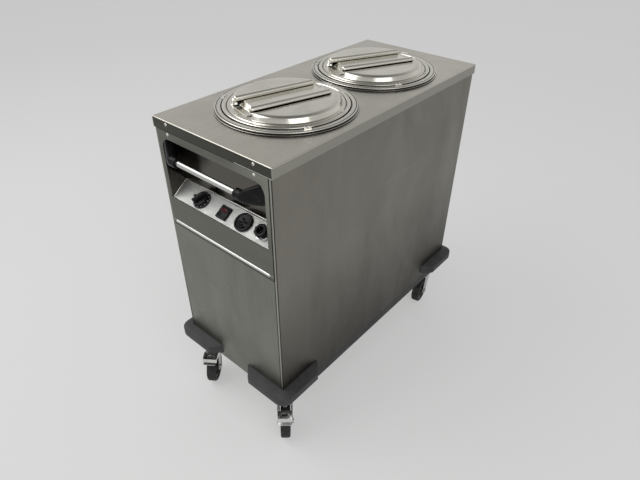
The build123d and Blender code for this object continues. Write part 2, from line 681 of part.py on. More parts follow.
def collar(centre):
    """Stepped ring on the table top, rebated for the lid, with three centring lugs."""
    top = TOP_Z + COLLAR_H
    foot = TOP_Z + COLLAR_FOOT_H
    step_r = BAND_R + BAND_FALL
    body = revolved([(BORE_R, TOP_Z), (COLLAR_R, TOP_Z), (COLLAR_R, foot - 1), (COLLAR_R - 1, foot),
                     (step_r, foot), (step_r - 0.8, top - 1.6), (step_r - 2, top - 0.4), (BAND_R, top),
                     (REBATE_R, top), (REBATE_R, top - REBATE), (BORE_R, top - REBATE)])
    inner = REBATE_R - LID_RIM_GAP + LID_SEAT_GAP
    for angle in LUG_ANGLES:
        lug = block((-LUG_W / 2, LUG_W / 2), (inner, inner + LUG_D), (top - REBATE, top + LUG_PROUD))
        lug = fillet(lug.faces().sort_by(Axis.Z)[-1].edges(), LUG_PROUD / 2)
        body += turned(lug, angle)
    return Pos(centre[0], centre[1], 0) * body


def dispenser_tube(centre):
    """Tube from tray to collar, slotted for the carrier's arms, with a spring ring."""
    floor = CASE_BOTTOM + TRAY_T
    body = ring(BORE_R + BORE_WALL, BORE_R, floor, TOP_Z)
    ring_top = TOP_Z - SPRING_RING_DROP
    body += ring(SPRING_RING_R, BORE_R + BORE_WALL / 2, ring_top - SPRING_RING_T, ring_top)
    slot_top = PLATFORM_Z - LEG_DROP + 2 * ARM_T
    for angle in SPRING_ANGLES:
        slot = block((-SLOT_W / 2, SLOT_W / 2), (BORE_R - 4, BORE_R + BORE_WALL + 4),
                     (floor + SLOT_BOTTOM_GAP, slot_top))
        eye = disc(2 * WIRE_R, ring_top - SPRING_RING_T - 1, ring_top + 1, 0, SPRING_CIRCLE)
        body -= turned(slot + eye, angle)
    return Pos(centre[0], centre[1], 0) * body


def guide_rods():
    """Three plate guides inside each tube, standing on the tray and stayed at the top."""
    floor = CASE_BOTTOM + TRAY_T
    top = TOP_Z - GUIDE_DROP
    stay_top = top - GUIDE_STAY_DROP
    stay_low = stay_top - GUIDE_STAY_H
    rods = []
    for centre in dispenser_centres().values():
        for angle in LUG_ANGLES:
            rod = disc(GUIDE_R, floor, top, 0, GUIDE_CIRCLE)
            stay = block((-GUIDE_R, GUIDE_R), (GUIDE_CIRCLE, BORE_R + 1), (stay_low, stay_top))
            stay &= disc(BORE_R, stay_low, stay_top)
            rods.append(turned(rod + stay, angle, centre))
    return Compound(children=rods)


def platform(centre):
    """Plate carrier: dished disc on three legs, with arms out to the springs."""
    body = disc(PLATFORM_R, PLATFORM_Z - PLATFORM_RIM, PLATFORM_Z)
    body = fillet(body.faces().sort_by(Axis.Z)[-1].edges(), PLATFORM_EDGE_R)
    body -= disc(PLATFORM_R - PLATFORM_T, PLATFORM_Z - PLATFORM_RIM - 1, PLATFORM_Z - PLATFORM_T)
    arm_low = PLATFORM_Z - LEG_DROP
    half = LEG_W / 2
    for angle in SPRING_ANGLES:
        leg = block((-half, half), (LEG_CIRCLE, LEG_CIRCLE + ARM_T), (arm_low, PLATFORM_Z - PLATFORM_T))
        arm = block((-ARM_W / 2, ARM_W / 2), (0, SPRING_CIRCLE + ARM_END), (arm_low, arm_low + ARM_T))
        eye = disc(2 * WIRE_R, arm_low - 1, arm_low + ARM_T + 1, 0, SPRING_CIRCLE)
        body += turned(leg + arm - eye, angle)
    return Pos(centre[0], centre[1], 0) * body


def springs(centre):
    """Three closed extension springs from the tube's ring down to the carrier's arms."""
    low = PLATFORM_Z - LEG_DROP + ARM_T
    high = TOP_Z - SPRING_RING_DROP - SPRING_RING_T
    coil_low, coil_high = low + SPRING_HOOK, high - SPRING_HOOK
    wire = 2 * WIRE_R
    coil = ring(SPRING_R, SPRING_R - wire, coil_low, coil_high)
    coil += disc(SPRING_R, coil_low, coil_low + wire) + disc(SPRING_R, coil_high - wire, coil_high)
    coil += disc(WIRE_R, low + HOOK_GAP, coil_low + wire) + disc(WIRE_R, coil_high - wire, high - HOOK_GAP)
    coil = Pos(0, SPRING_CIRCLE, 0) * coil
    return Compound(children=[turned(coil, angle, centre) for angle in SPRING_ANGLES])


def heaters():
    """One ring element on three feet in the bottom of each tube."""
    floor = CASE_BOTTOM + TRAY_T
    half = HEATER_FOOT / 2
    body = Pos(0, 0, floor + HEATER_LEG_H) * Torus(HEATER_R, HEATER_TUBE_R)
    for angle in LUG_ANGLES:
        foot = block((-half, half), (HEATER_R - half, HEATER_R + half), (floor, floor + HEATER_FOOT_T))
        stem = block((-half, half), (HEATER_R - 1, HEATER_R + 1), (floor, floor + HEATER_LEG_H))
        body += turned(foot + stem, angle)
    return Compound(children=[Pos(x, y, 0) * body for x, y in dispenser_centres().values()])


# --- Lids ------------------------------------------------------------------------------

def pan(shrink):
    """One raised D-shaped pan with drafted sides; shrink sets its inner skin."""
    radius, chord = LID_EDGE_R - PAN_IN - shrink, PAN_CHORD + shrink
    outline = Circle(radius) & (Pos(chord + radius, 0) * Rectangle(2 * radius, 4 * radius))
    body = extrude(outline, PAN_H + LID_SHEET, taper=PAN_DRAFT)
    return fillet(body.faces().sort_by(Axis.Z)[-1].edges(), PAN_EDGE_R)


def lid(centre, turn):
    """Pressed lid: rolled rim, groove, two raised pans and a locating skirt."""
    under = LID_FLOOR - LID_SHEET
    rim_r = LID_EDGE_R - LID_RIM_R
    groove_r = LID_EDGE_R - LID_GROOVE_IN
    half = LID_GROOVE_W / 2
    dip = LID_FLOOR - LID_GROOVE
    sheet = folded([(0, LID_FLOOR), (groove_r - half, LID_FLOOR), (groove_r - half / 2, dip),
                    (groove_r + half / 2, dip), (groove_r + half, LID_FLOOR), (rim_r, LID_FLOOR)],
                   LID_SHEET)
    body = revolve(Plane.XZ * sheet, Axis.Z)
    body += Pos(0, 0, LID_FLOOR + 0.3 - LID_RIM_R) * Torus(rim_r, LID_RIM_R)
    skirt_r = BORE_R - LID_SKIRT_GAP
    body += ring(skirt_r, skirt_r - LID_SHEET, under - LID_SKIRT_H, under - LID_GROOVE / 2)
    for side in (0, 180):
        body += Rot(0, 0, side) * (Pos(0, 0, under) * pan(0))
        body -= Rot(0, 0, side) * (Pos(0, 0, under - LID_SHEET) * pan(LID_SHEET))
    return turned(body, turn, centre)


def lid_grip(centre, turn):
    """Wide strap across the lid: long edges rolled up, a leaning leg and a foot at each end."""
    axis_z = LID_FLOOR + GRIP_BEAD_ABOVE
    strap_top = axis_z - GRIP_BEAD_R + 2 * GRIP_STRAP_T
    foot_top = LID_FLOOR + GRIP_STRAP_T
    bend = GRIP_STRAP / 2
    heel = bend + GRIP_LEG_RUN
    toe = heel + GRIP_FOOT
    strap = folded([(-toe, foot_top), (-heel, foot_top), (-bend, strap_top), (bend, strap_top),
                    (heel, foot_top), (toe, foot_top)], GRIP_STRAP_T)
    width = GRIP_BEAD_OFFSET - GRIP_BEAD_R
    body = section_yz(strap, -width, width)
    across = (-GRIP_BEAD_OFFSET, GRIP_BEAD_OFFSET)
    body += block(across, (-bend, bend), (strap_top - GRIP_STRAP_T, strap_top))
    for x in across:
        bead = Rot(90, 0, 0) * Cylinder(GRIP_BEAD_R, GRIP_LENGTH)
        bead = fillet(bead.edges().filter_by(GeomType.CIRCLE), GRIP_BEAD_END_R)
        body += Pos(x, -GRIP_BEAD_SHIFT, axis_z) * bead
    return turned(body, turn, centre)


# --- Castors: drawn trailing along -Y, then turned ---------------------------------------

def castor_place(name):
    """Place and turn of one castor's fork."""
    side, end, trail = CASTORS[name]
    return Pos(side * (TOP_W / 2 - CASTOR_INSET), end * (TOP_L / 2 - CASTOR_INSET), 0) * Rot(0, 0, trail)


def castor_levels():
    """Underside of the rail, of the plate and of the race."""
    rail = CASE_BOTTOM - RAIL_H
    plate = rail - CASTOR_PLATE_T
    return rail, plate, plate - RACE_H


def bolt_offsets():
    """Bolt centres from a castor's swivel axis."""
    half = BOLT_PITCH / 2
    return [(dx, dy) for dx in (-half, half) for dy in (-half, half)]


def castor_plates():
    """Four top plates, each with its race and the kingpin that the fork turns on."""
    rail, plate, race = castor_levels()
    half = CASTOR_PLATE / 2
    head_top = race - FLAT_GAP - CROWN_TOP_T - FLAT_GAP
    body = block((-half, half), (-half, half), (plate, rail))
    body = fillet(body.edges().filter_by(Axis.Z), CASTOR_PLATE_R)
    body += disc(RACE_R, race, plate)
    body += disc(KINGPIN_R, head_top, race)
    body += disc(KINGPIN_HEAD_R, head_top - KINGPIN_HEAD_H, head_top)
    for dx, dy in bolt_offsets():
        body -= disc(BOLT_R, plate - 1, rail + 1, dx, dy)
    places = [(side * (TOP_W / 2 - CASTOR_INSET), end * (TOP_L / 2 - CASTOR_INSET))
              for side, end, _ in CASTORS.values()]
    return Compound(children=[Pos(x, y, 0) * body for x, y in places])


def castor_bolts():
    """Bolts up through each castor plate, with a nut inside the rail."""
    rail, plate, _ = castor_levels()
    nut_low = rail + RAIL_WALL
    body = extrude(Pos(0, 0, plate - BOLT_HEAD_H) * RegularPolygon(BOLT_HEAD_R, 6), BOLT_HEAD_H)
    body += disc(BOLT_R, plate - 1, nut_low + BOLT_END)
    body += extrude(Pos(0, 0, nut_low) * RegularPolygon(BOLT_HEAD_R, 6), BOLT_HEAD_H - 1)
    bolts = []
    for side, end, _ in CASTORS.values():
        x = side * (TOP_W / 2 - CASTOR_INSET)
        y = end * (TOP_L / 2 - CASTOR_INSET)
        bolts += [Pos(x + dx, y + dy, 0) * body for dx, dy in bolt_offsets()]
    return bolts


def castor_fork(name):
    """Crown with two tapering cheeks down to the axle, bored for axle and pedal."""
    crown_top = castor_levels()[2] - FLAT_GAP
    crown_low = crown_top - CROWN_H
    inner = HUB_W / 2 + FORK_SIDE_GAP
    outer = inner + FORK_PLATE
    body = disc(CROWN_R, crown_low, crown_top)
    body = fillet(body.faces().sort_by(Axis.Z)[-1].edges(), CROWN_EDGE_R)
    body -= disc(KINGPIN_R + RUNNING_FIT, crown_low - 1, crown_top + 1)
    body -= disc(KINGPIN_HEAD_R + CROWN_EDGE_R, crown_low - 1, crown_top - CROWN_TOP_T)
    for x_low, x_high in ((-outer, -inner), (inner, outer)):
        body += section_yz(fork_cheek(crown_top - CROWN_EDGE_R, crown_low), x_low, x_high)
    body -= crosswise(AXLE_R, 2 * outer + 4, 0, -CASTOR_TRAIL, WHEEL_R)
    if name in PEDAL_LIFT:
        body -= crosswise(PEDAL_PIVOT_R + RUNNING_FIT, 2 * outer + 4, 0, *pedal_pivot())
    return castor_place(name) * body


def fork_cheek(top, low):
    """Outline of a cheek in Y and Z: tangent lines from the crown to the axle's eye."""
    front, back = -0.85 * CROWN_R, 0.75 * CROWN_R
    edges = list((Pos(-CASTOR_TRAIL, WHEEL_R) * Circle(FORK_EYE_R)).edges())
    edges += [Line((front, top), (back, top)), Line((front, low), (front, top)),
              Line((back, low), (back, top))]
    return make_hull(edges)


def castor_axle(name):
    """Axle bolt through fork and hub, with a head and a nut outside the fork."""
    outer = HUB_W / 2 + FORK_SIDE_GAP + FORK_PLATE
    plane = Plane(origin=(outer, 0, 0), x_dir=(0, 1, 0), z_dir=(1, 0, 0))
    head = extrude(plane * RegularPolygon(NUT_R, 6), NUT_H)
    body = crosswise(AXLE_R, 2 * outer) + head + mirror(head, Plane.YZ)
    return castor_place(name) * (Pos(0, -CASTOR_TRAIL, WHEEL_R) * body)


def wheel_part(points, name):
    """Revolve an outline of (along, radius) points about one wheel's axle."""
    plane = Plane(origin=(0, -CASTOR_TRAIL, WHEEL_R), x_dir=(1, 0, 0), z_dir=(0, -1, 0))
    axis = Axis((0, -CASTOR_TRAIL, WHEEL_R), (1, 0, 0))
    return castor_place(name) * revolve(plane * make_face(Polyline(*points, close=True)), axis)


def castor_rim(name):
    """Wheel centre: long hub, thin web and a seat for the tyre."""
    bore = AXLE_R + RUNNING_FIT
    seat = WHEEL_R - TYRE_T
    hub, web, edge = HUB_W / 2, RIM_WEB / 2, WHEEL_W / 2 - TYRE_LIP
    half = [(hub, bore), (hub, HUB_R), (web, HUB_R + 4), (web, seat - 7), (edge, seat - 4), (edge, seat)]
    return wheel_part(half + [(-x, r) for x, r in reversed(half)], name)


def castor_tyre(name):
    """Solid tyre with a flat tread and rounded shoulders, seated on the rim."""
    seat, half_w = WHEEL_R - TYRE_T, WHEEL_W / 2
    bevel = 0.3 * TYRE_EDGE_R
    half = [(half_w - TYRE_LIP, seat), (half_w, seat + TYRE_LIP), (half_w, WHEEL_R - TYRE_EDGE_R),
            (half_w - bevel, WHEEL_R - bevel), (half_w - TYRE_EDGE_R, WHEEL_R)]
    return wheel_part(half + [(-x, r) for x, r in reversed(half)], name)


def over_wheel(radius, angle):
    """Point in Y and Z at a radius about the axle, at an angle outward from upright."""
    turn = radians(angle)
    return -CASTOR_TRAIL - radius * sin(turn), WHEEL_R + radius * cos(turn)


def pedal_pivot():
    """Middle of the pedal's pivot pin in Y and Z."""
    return over_wheel(WHEEL_R + PEDAL_PIVOT_ABOVE, -PEDAL_PIVOT_BACK)


def brake_pedal(name):
    """Foot pedal: two arms outside the fork, a slotted plate and a lower lip."""
    inner = HUB_W / 2 + FORK_SIDE_GAP + FORK_PLATE + PEDAL_SIDE_GAP
    outer = inner + PEDAL_T
    plate_r = WHEEL_R + PEDAL_ABOVE
    near, far = over_wheel(plate_r, PEDAL_NEAR), over_wheel(plate_r, PEDAL_FAR)
    step = over_wheel(plate_r - PEDAL_STEP, PEDAL_FAR + PEDAL_LIP / 2)
    edge = over_wheel(plate_r, PEDAL_FAR + PEDAL_LIP)
    pivot = pedal_pivot()
    body = section_yz(folded([near, far, step], -PEDAL_T), -outer, outer)
    body += section_yz(folded([far, step, edge], -PEDAL_T), -PEDAL_LIP_W / 2, PEDAL_LIP_W / 2)
    middle = over_wheel(plate_r, (PEDAL_NEAR + PEDAL_FAR) / 2)
    slot = Rot((PEDAL_NEAR + PEDAL_FAR) / 2, 0, 0) * Box(PEDAL_SLOT_L, PEDAL_SLOT_W, 6 * PEDAL_T)
    body -= Pos(0, *middle) * slot
    arm = pedal_arm(pivot, near, far)
    body += section_yz(arm, -outer, -inner) + section_yz(arm, inner, outer)
    body += crosswise(PEDAL_PIVOT_R, 2 * outer, 0, *pivot)
    lift = Pos(0, *pivot) * Rot(-PEDAL_LIFT[name], 0, 0) * Pos(0, -pivot[0], -pivot[1])
    return castor_place(name) * lift * body


def pedal_arm(pivot, near, far):
    """Outline of a pedal arm in Y and Z, from the eye round the pivot to the plate."""
    edges = list((Pos(*pivot) * Circle(PEDAL_EYE_R)).edges())
    for y, z in (near, far):
        edges += list((Pos(y, z + PEDAL_T / 2) * Circle(PEDAL_T)).edges())
    return make_hull(edges)


# --- Screws ----------------------------------------------------------------------------

def screw_places():
    """Foot of each screw head: across, along, height and which end it faces."""
    places = []
    for side in (-1, 1):
        x = side * (TOP_W / 2 - SCREW_IN)
        sheet_z = OPENING_TOP + SHEET_SCREW_UP
        places.append((x, -CASE_Y - UPPER_SHEET_T, sheet_z, -1))
        places.append((x, CASE_Y + LOWER_SHEET_T, sheet_z, 1))
        places.append((x, -TOP_L / 2, TOP_Z - SKIRT_SCREW_DOWN, -1))
        places.append((x, TOP_L / 2, TOP_Z - SKIRT_SCREW_DOWN, 1))
    return places


def lengthwise(radius, low, high, x, z):
    """Cylinder along Y between two limits."""
    return Pos(x, (low + high) / 2, z) * (Rot(90, 0, 0) * Cylinder(radius, high - low))


def screw_holes():
    """Bores of the casing screws, through skirt, sheet and rail alike."""
    inner, outer = TOP_L / 2 - 2 * SCREW_REACH, TOP_L / 2 + 1
    holes = []
    for x, _, z, end in screw_places():
        low, high = sorted((end * inner, end * outer))
        holes.append(lengthwise(SCREW_SHANK_R, low, high, x, z))
    return holes


def casing_screws():
    """Domed screws at both ends of the casing."""
    head = disc(SCREW_HEAD_R, 0, SCREW_HEAD_H)
    head = fillet(head.faces().sort_by(Axis.Z)[-1].edges(), 0.8 * SCREW_HEAD_H)
    screws = []
    for x, y, z, end in screw_places():
        low, high = sorted((y, end * (TOP_L / 2 - SCREW_REACH)))
        shank = lengthwise(SCREW_SHANK_R, low, high, x, z)
        screws.append(Pos(x, y, z) * (Rot(-90 * end, 0, 0) * head) + shank)
    return screws


# --- The whole cart ----------------------------------------------------------------------

def casing_parts():
    """Panels, rails, bumpers and fixings."""
    parts = {
        "top_plate": top_plate(),
        "side_panel_left": side_panel(-1),
        "side_panel_right": side_panel(1),
        "front_upper_sheet": front_upper_sheet(),
        "front_lower_sheet": plain_sheet(CASE_BOTTOM, UPPER_SHEET_BOTTOM - SEAM, -1),
        "rear_sheet": plain_sheet(CASE_BOTTOM, SKIRT_BOTTOM - SEAM, 1),
        "base_tray": base_tray(),
        "base_rails": base_rails(),
        "top_rails": top_rails(),
        "fixings": Compound(children=casing_screws() + castor_bolts()),
    }
    for name, (side, end, _) in CASTORS.items():
        parts["bumper_" + name] = bumper(side, end)
    return parts


def control_parts():
    """Recess, push handle and controls."""
    return {
        "recess_box": recess_box(),
        "control_panel": control_panel(),
        "push_tube": push_tube(),
        "handle_bracket_left": handle_bracket(-1),
        "handle_bracket_right": handle_bracket(1),
        "thermostat": thermostat(),
        "thermostat_knob": thermostat_knob(),
        "switch_housing": switch_housing(),
        "switch_rocker": switch_rocker(),
        "switch_lens": switch_lens(),
        "storage_socket": storage_socket(),
        "inlet_ring": inlet_ring(),
        "supply_inlet": supply_inlet(),
    }


def dispenser_parts():
    """Both dispensers with their lids, and what they share."""
    parts = {"guide_rods": guide_rods(), "heaters": heaters()}
    for (name, centre), turn in zip(dispenser_centres().items(), LID_TURN):
        parts[name + "_collar"] = collar(centre)
        parts[name + "_tube"] = dispenser_tube(centre)
        parts[name + "_platform"] = platform(centre)
        parts[name + "_springs"] = springs(centre)
        parts[name + "_lid"] = lid(centre, turn)
        parts[name + "_lid_grip"] = lid_grip(centre, turn)
    return parts


def castor_parts():
    """Four swivel castors, the front two with foot brakes."""
    parts = {"castor_plates": castor_plates()}
    for name in CASTORS:
        parts["castor_fork_" + name] = castor_fork(name)
        parts["castor_axle_" + name] = castor_axle(name)
        parts["castor_rim_" + name] = castor_rim(name)
        parts["castor_tyre_" + name] = castor_tyre(name)
    for name in PEDAL_LIFT:
        parts["brake_pedal_" + name] = brake_pedal(name)
    return parts


def main():
    """Write one STEP file for each piece."""
    os.makedirs("parts", exist_ok=True)
    parts = {**casing_parts(), **control_parts(), **dispenser_parts(), **castor_parts()}
    for name, shape in parts.items():
        export_step(shape, "parts/" + name + ".step")


main()
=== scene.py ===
import json
from math import acos, atan2, copysign, cos, hypot, pi, radians, sin, sqrt, tan

import bmesh
import bpy
from mathutils import Matrix, Vector


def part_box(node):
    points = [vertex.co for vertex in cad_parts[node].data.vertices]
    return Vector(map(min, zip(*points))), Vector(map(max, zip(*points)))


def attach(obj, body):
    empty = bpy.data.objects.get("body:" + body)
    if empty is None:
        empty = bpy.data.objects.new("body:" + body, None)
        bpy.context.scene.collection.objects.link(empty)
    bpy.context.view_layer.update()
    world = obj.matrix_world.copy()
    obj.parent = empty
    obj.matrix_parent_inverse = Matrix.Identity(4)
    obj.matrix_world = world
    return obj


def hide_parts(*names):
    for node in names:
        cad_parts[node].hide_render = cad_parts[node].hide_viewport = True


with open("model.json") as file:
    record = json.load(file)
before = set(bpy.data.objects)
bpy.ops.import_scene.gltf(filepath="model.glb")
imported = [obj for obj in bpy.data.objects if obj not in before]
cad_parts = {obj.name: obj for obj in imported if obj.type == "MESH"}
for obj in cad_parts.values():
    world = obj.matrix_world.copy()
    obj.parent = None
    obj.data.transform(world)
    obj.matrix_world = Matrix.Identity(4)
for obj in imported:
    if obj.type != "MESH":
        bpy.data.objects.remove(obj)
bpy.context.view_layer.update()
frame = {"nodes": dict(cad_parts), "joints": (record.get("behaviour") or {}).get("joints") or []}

bl_info = {
    "name": "Plate Dispenser Cart",
    "version": (1, 0, 0),
    "blender": (4, 5, 0),
    "location": "View3D > Sidebar > Cart",
    "description": "Finishes and fine pieces of a heated two-tube plate dispenser cart",
    "category": "Object",
}

# Metres and radians. The control end faces -Y, and left and right are as seen from that end.
NODES = frame["nodes"]
JOINTS = {joint["name"]: joint for joint in frame["joints"]}
ENDS = ("front", "rear")
CASTORS = ("front_left", "front_right", "rear_left", "rear_right")
BRAKED = CASTORS[:2]

SMOOTH_ANGLE = radians(32)      # edges sharper than this stay sharp in the shading
ROUND_STEPS = 128               # around the collars and lids
WHEEL_STEPS = 72
SMALL_STEPS = 40
COLLAR_TOP = 0.0085             # collar's top above its foot
COLLAR_GROOVE_IN = 0.0085       # fine groove on the collar's top, in from its rim
COLLAR_REBATE_IN = 0.0195       # wall of the collar's rebate, in from its rim
COLLAR_BORE_IN = 0.0275         # collar's bore, in from its rim
ALONG_X, ALONG_Y, ALONG_Z = (0.02, 1.0, 1.0), (1.0, 0.02, 1.0), (1.0, 1.0, 0.02)    # stretch of the grain
GRAIN_DEPTH = 0.00004
# dark of real joints, and painted shade under folds, beads and edges
DARK_JOINT_AND_PAINTED_SHADE = (0.03, 0.03, 0.027)
# painted shade in the gaps, grooves and slots of the lids, collars and straps
PAINTED_GAP_SHADE = (0.022, 0.021, 0.019)
UNLIT = (0.02, 0.019, 0.017)
UPPER_DUST, LOWER_DUST = (0.16, 0.145, 0.12, 1.0), (0.13, 0.122, 0.11, 1.0)


# --- Sizes and colours that a user would change ---

def colour(name, description, default):
    """Colour property of one finish."""
    return bpy.props.FloatVectorProperty(name=name, description=description, default=default,
                                         subtype="COLOR", size=3, min=0.0, max=1.0)


def length(name, description, default):
    """Length property in metres."""
    return bpy.props.FloatProperty(name=name, description=description, default=default,
                                   unit="LENGTH", min=0.0, precision=5)


def angle(name, description, default):
    """Angle property, with its default in degrees."""
    return bpy.props.FloatProperty(name=name, description=description, default=radians(default),
                                   subtype="ANGLE")


def share(name, description, default):
    """Factor from 0 to 1."""
    return bpy.props.FloatProperty(name=name, description=description, default=default,
                                   subtype="FACTOR", min=0.0, max=1.0)


class CartFinishes(bpy.types.PropertyGroup):
    """Colours and wear of the cart's finishes."""
    table_steel: colour("Table top", "Brushed steel of the table top", (0.53, 0.51, 0.455))
    side_steel: colour("Side panels", "Brushed steel of the side panels", (0.235, 0.223, 0.195))
    upper_steel: colour("Upper sheet", "Steel round the hand opening", (0.148, 0.149, 0.128))
    lower_steel: colour("Lower sheets", "Steel of the lower front and the rear sheet", (0.215, 0.218, 0.190))
    # painted light: the side panels' returns are shown lighter than the panels where they face the front
    lit_return_steel: colour("Corner strips", "Returns of the side panels", (0.36, 0.355, 0.33))
    panel_steel: colour("Control panel", "Aluminium of the control panel", (0.48, 0.48, 0.465))
    tube_steel: colour("Push tube", "Aluminium of the push tube", (0.52, 0.52, 0.505))
    recess_steel: colour("Recess", "Smooth steel inside the hand opening", (0.105, 0.097, 0.084))
    lid_steel: colour("Lids", "Polished steel of lids and collars", (0.66, 0.64, 0.58))
    strap_steel: colour("Straps", "Steel of the lids' straps", (0.74, 0.715, 0.65))
    # colour of the hems, and of the painted highlights on the front skirt's lower edge and on the bead's top
    hem_and_painted_highlight: colour("Bright edges", "Pressed bead, skirt's edge and panel's hems", (0.72, 0.72, 0.70))
    zinc: colour("Zinc", "Plated castor forks and bolts", (0.50, 0.50, 0.48))
    pedal_zinc: colour("Pedals", "Brighter plating of the foot pedals", (0.74, 0.74, 0.72))
    black_plastic: colour("Black plastic", "Brackets, knob, switch and sockets", (0.006, 0.006, 0.0065))
    lens_red: colour("Lens", "Window of the rocker switch", (0.055, 0.001, 0.002))
    print_white: colour("Dial print", "Marks and numbers on the dial", (0.62, 0.62, 0.60))
    bumper: colour("Bumpers", "Grey-black rubber of the corner bumpers", (0.044, 0.044, 0.045))
    tyre: colour("Tyres", "Rubber of the castor tyres", (0.016, 0.016, 0.016))
    rim: colour("Wheel centres", "Moulded plastic of the wheel centres", (0.025, 0.025, 0.025))
    dark_paint: colour("Frame", "Dark satin steel of tray and rails", (0.015, 0.015, 0.015))
    grain: share("Grain", "Depth of the brushed grain", 0.35)
    smudges: share("Smudges", "Strength of hand smudges on the steel", 0.35)
    wear: share("Wear", "Scuffs on plastic and rubber", 0.35)


class CartDetails(bpy.types.PropertyGroup):
    """Sizes of the pieces that are modelled finely here."""
    front_turn: angle("Front lid turn", "Turn of the front lid's strap", 16.3)
    rear_turn: angle("Rear lid turn", "Turn of the rear lid's strap", 25.5)
    lid_sheet: length("Lid sheet", "Thickness of the lid's sheet", 0.0012)
    rim_radius: length("Lid rim", "Radius of the lid's rolled rim", 0.004)
    groove_in: length("Groove in", "Middle of the groove, in from the lid's edge", 0.012)
    groove_width: length("Groove width", "Width of the groove in the lid", 0.006)
    groove_depth: length("Groove depth", "Depth of the groove in the lid", 0.0025)
    pan_in: length("Pan inset", "Foot of the raised pans, in from the lid's edge", 0.021)
    pan_chord: length("Pan chord", "Foot of the pans either side of the strap", 0.046)
    pan_corner: length("Pan corner", "Corner radius of a pan's foot", 0.013)
    pan_height: length("Pan height", "Height of the raised pans", 0.016)
    pan_draft: angle("Pan draft", "Slope of the pans' sides from upright", 26.0)
    pan_round: length("Pan rounding", "Radius on the pans' upper edges", 0.012)
    bead_radius: length("Bead radius", "Radius of the strap's rolled edges", 0.008)
    bead_end: length("Bead end", "Rounding at the ends of the rolled edges", 0.0062)
    bead_length: length("Bead length", "Length of the strap's rolled edges", 0.236)
    bead_offset: length("Bead offset", "Rolled edges from the strap's middle line", 0.0424)
    bead_shift: length("Bead shift", "Rolled edges, from the lid's middle to the controls", 0.009)
    strap_sheet: length("Strap sheet", "Thickness of the strap", 0.0015)
    strap_level: length("Strap level", "Level part of the strap, between its two bends", 0.208)
    leg_run: length("Leg run", "How far each leg of the strap leans out", 0.012)
    strap_foot: length("Strap foot", "Length of each foot of the strap", 0.016)
    strap_bend: length("Strap bend", "Radius of the strap's folds", 0.003)
    screw_radius: length("Screw head", "Radius of the domed screw heads", 0.0045)
    screw_height: length("Screw height", "Height of the domed screw heads", 0.0026)
    bolt_radius: length("Bolt head", "Half the width across corners of the castor bolts", 0.0065)
    number_size: length("Dial numbers", "Height of the numbers on the dial", 0.0046)
    edge_round: length("Edge rounding", "Radius on moulded edges", 0.0008)
    bumper_round: length("Bumper rounding", "Radius on the bumpers' edges", 0.0028)


class CartStage(bpy.types.PropertyGroup):
    """Camera, floor and light."""
    camera_place: bpy.props.FloatVectorProperty(name="Camera", description="Place of the camera",
                                                default=(0.9066, -1.1108, 1.4671),
                                                subtype="TRANSLATION", unit="LENGTH")
    azimuth: angle("Azimuth", "Direction the camera stands in, from -Y towards +X", 40.4875)
    elevation: angle("Elevation", "Camera's downward tilt", 36.1955)
    roll: angle("Roll", "Camera's roll about its own axis", 0.3103)
    lens: bpy.props.FloatProperty(name="Lens", description="Focal length in millimetres on a 36 mm sensor",
                                  default=29.375, min=1.0)
    floor_colour: colour("Floor", "Pale floor", (0.72, 0.72, 0.71))
    floor_glow: share("Floor evenness", "Share of the floor that shows its colour in any light", 0.55)
    backdrop: colour("Backdrop", "What camera and metal see beyond the floor", (0.80, 0.80, 0.79))
    overhead: colour("Overhead", "What they see straight above", (0.16, 0.16, 0.155))


# --- Measures and places ---

def middle(node):
    """Middle of a CAD node's box."""
    low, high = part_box(node)
    return (low + high) / 2


def radius_of(node):
    """Half the width of a round CAD node."""
    low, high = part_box(node)
    return (high.x - low.x) / 2


def place_at(origin, along, across=(1.0, 0.0, 0.0)):
    """Matrix whose Z runs along a direction and whose X leans to another."""
    z = Vector(along).normalized()
    x = (Vector(across) - z * z.dot(Vector(across))).normalized()
    turn = Matrix((x, z.cross(x), z)).transposed()
    return Matrix.Translation(Vector(origin)) @ turn.to_4x4()


def joint_frame(name, across):
    """Place of a joint with Z along its axis."""
    return place_at(JOINTS[name]["pos_m"], JOINTS[name]["axis"], across)


def turned(angle_about, axis="Z"):
    """Rotation matrix about one axis."""
    return Matrix.Rotation(angle_about, 4, axis)


def well_frame(end, turn=0.0):
    """Place over the middle of a well, turned clockwise."""
    centre = middle(end + "_collar")
    return Matrix.Translation((centre.x, centre.y, 0.0)) @ turned(-turn)


# --- Lines ---

def circle(steps):
    """(cos, sin) pairs once round."""
    return [(cos(2 * pi * i / steps), sin(2 * pi * i / steps)) for i in range(steps)]


def arc(cx, cy, radius, start, end, steps):
    """Points on an arc in the plane, both ends included."""
    return [(cx + radius * cos(start + (end - start) * i / steps),
             cy + radius * sin(start + (end - start) * i / steps)) for i in range(steps + 1)]


def rounded(points, radii, steps=5, closed=True):
    """Polygon or open line with its corners rounded, each by its own radius."""
    made = []
    last = len(points) - 1
    for i, (point, radius) in enumerate(zip(points, radii)):
        if radius <= 0 or (not closed and i in (0, last)):
            made.append(point)
            continue
        here = Vector(point)
        back = (Vector(points[i - 1]) - here).normalized()
        ahead = (Vector(points[(i + 1) % len(points)]) - here).normalized()
        half = acos(max(-1.0, min(1.0, back.dot(ahead)))) / 2
        centre = here + (back + ahead).normalized() * radius / sin(half)
        first = here + back * radius / tan(half) - centre
        final = here + ahead * radius / tan(half) - centre
        sweep = atan2(first.x * final.y - first.y * final.x, first.dot(final))
        start = atan2(first.y, first.x)
        made += arc(centre.x, centre.y, radius, start, start + sweep, steps)
    return made


def headings(line):
    """Unit direction of an open line at each of its points."""
    last = len(line) - 1
    return [(Vector(line[min(i + 1, last)]) - Vector(line[max(i - 1, 0)])).normalized()
            for i in range(len(line))]


# --- Meshes ---

def ring_of(bm, points):
    """Vertices at a list of points."""
    return [bm.verts.new(point) for point in points]


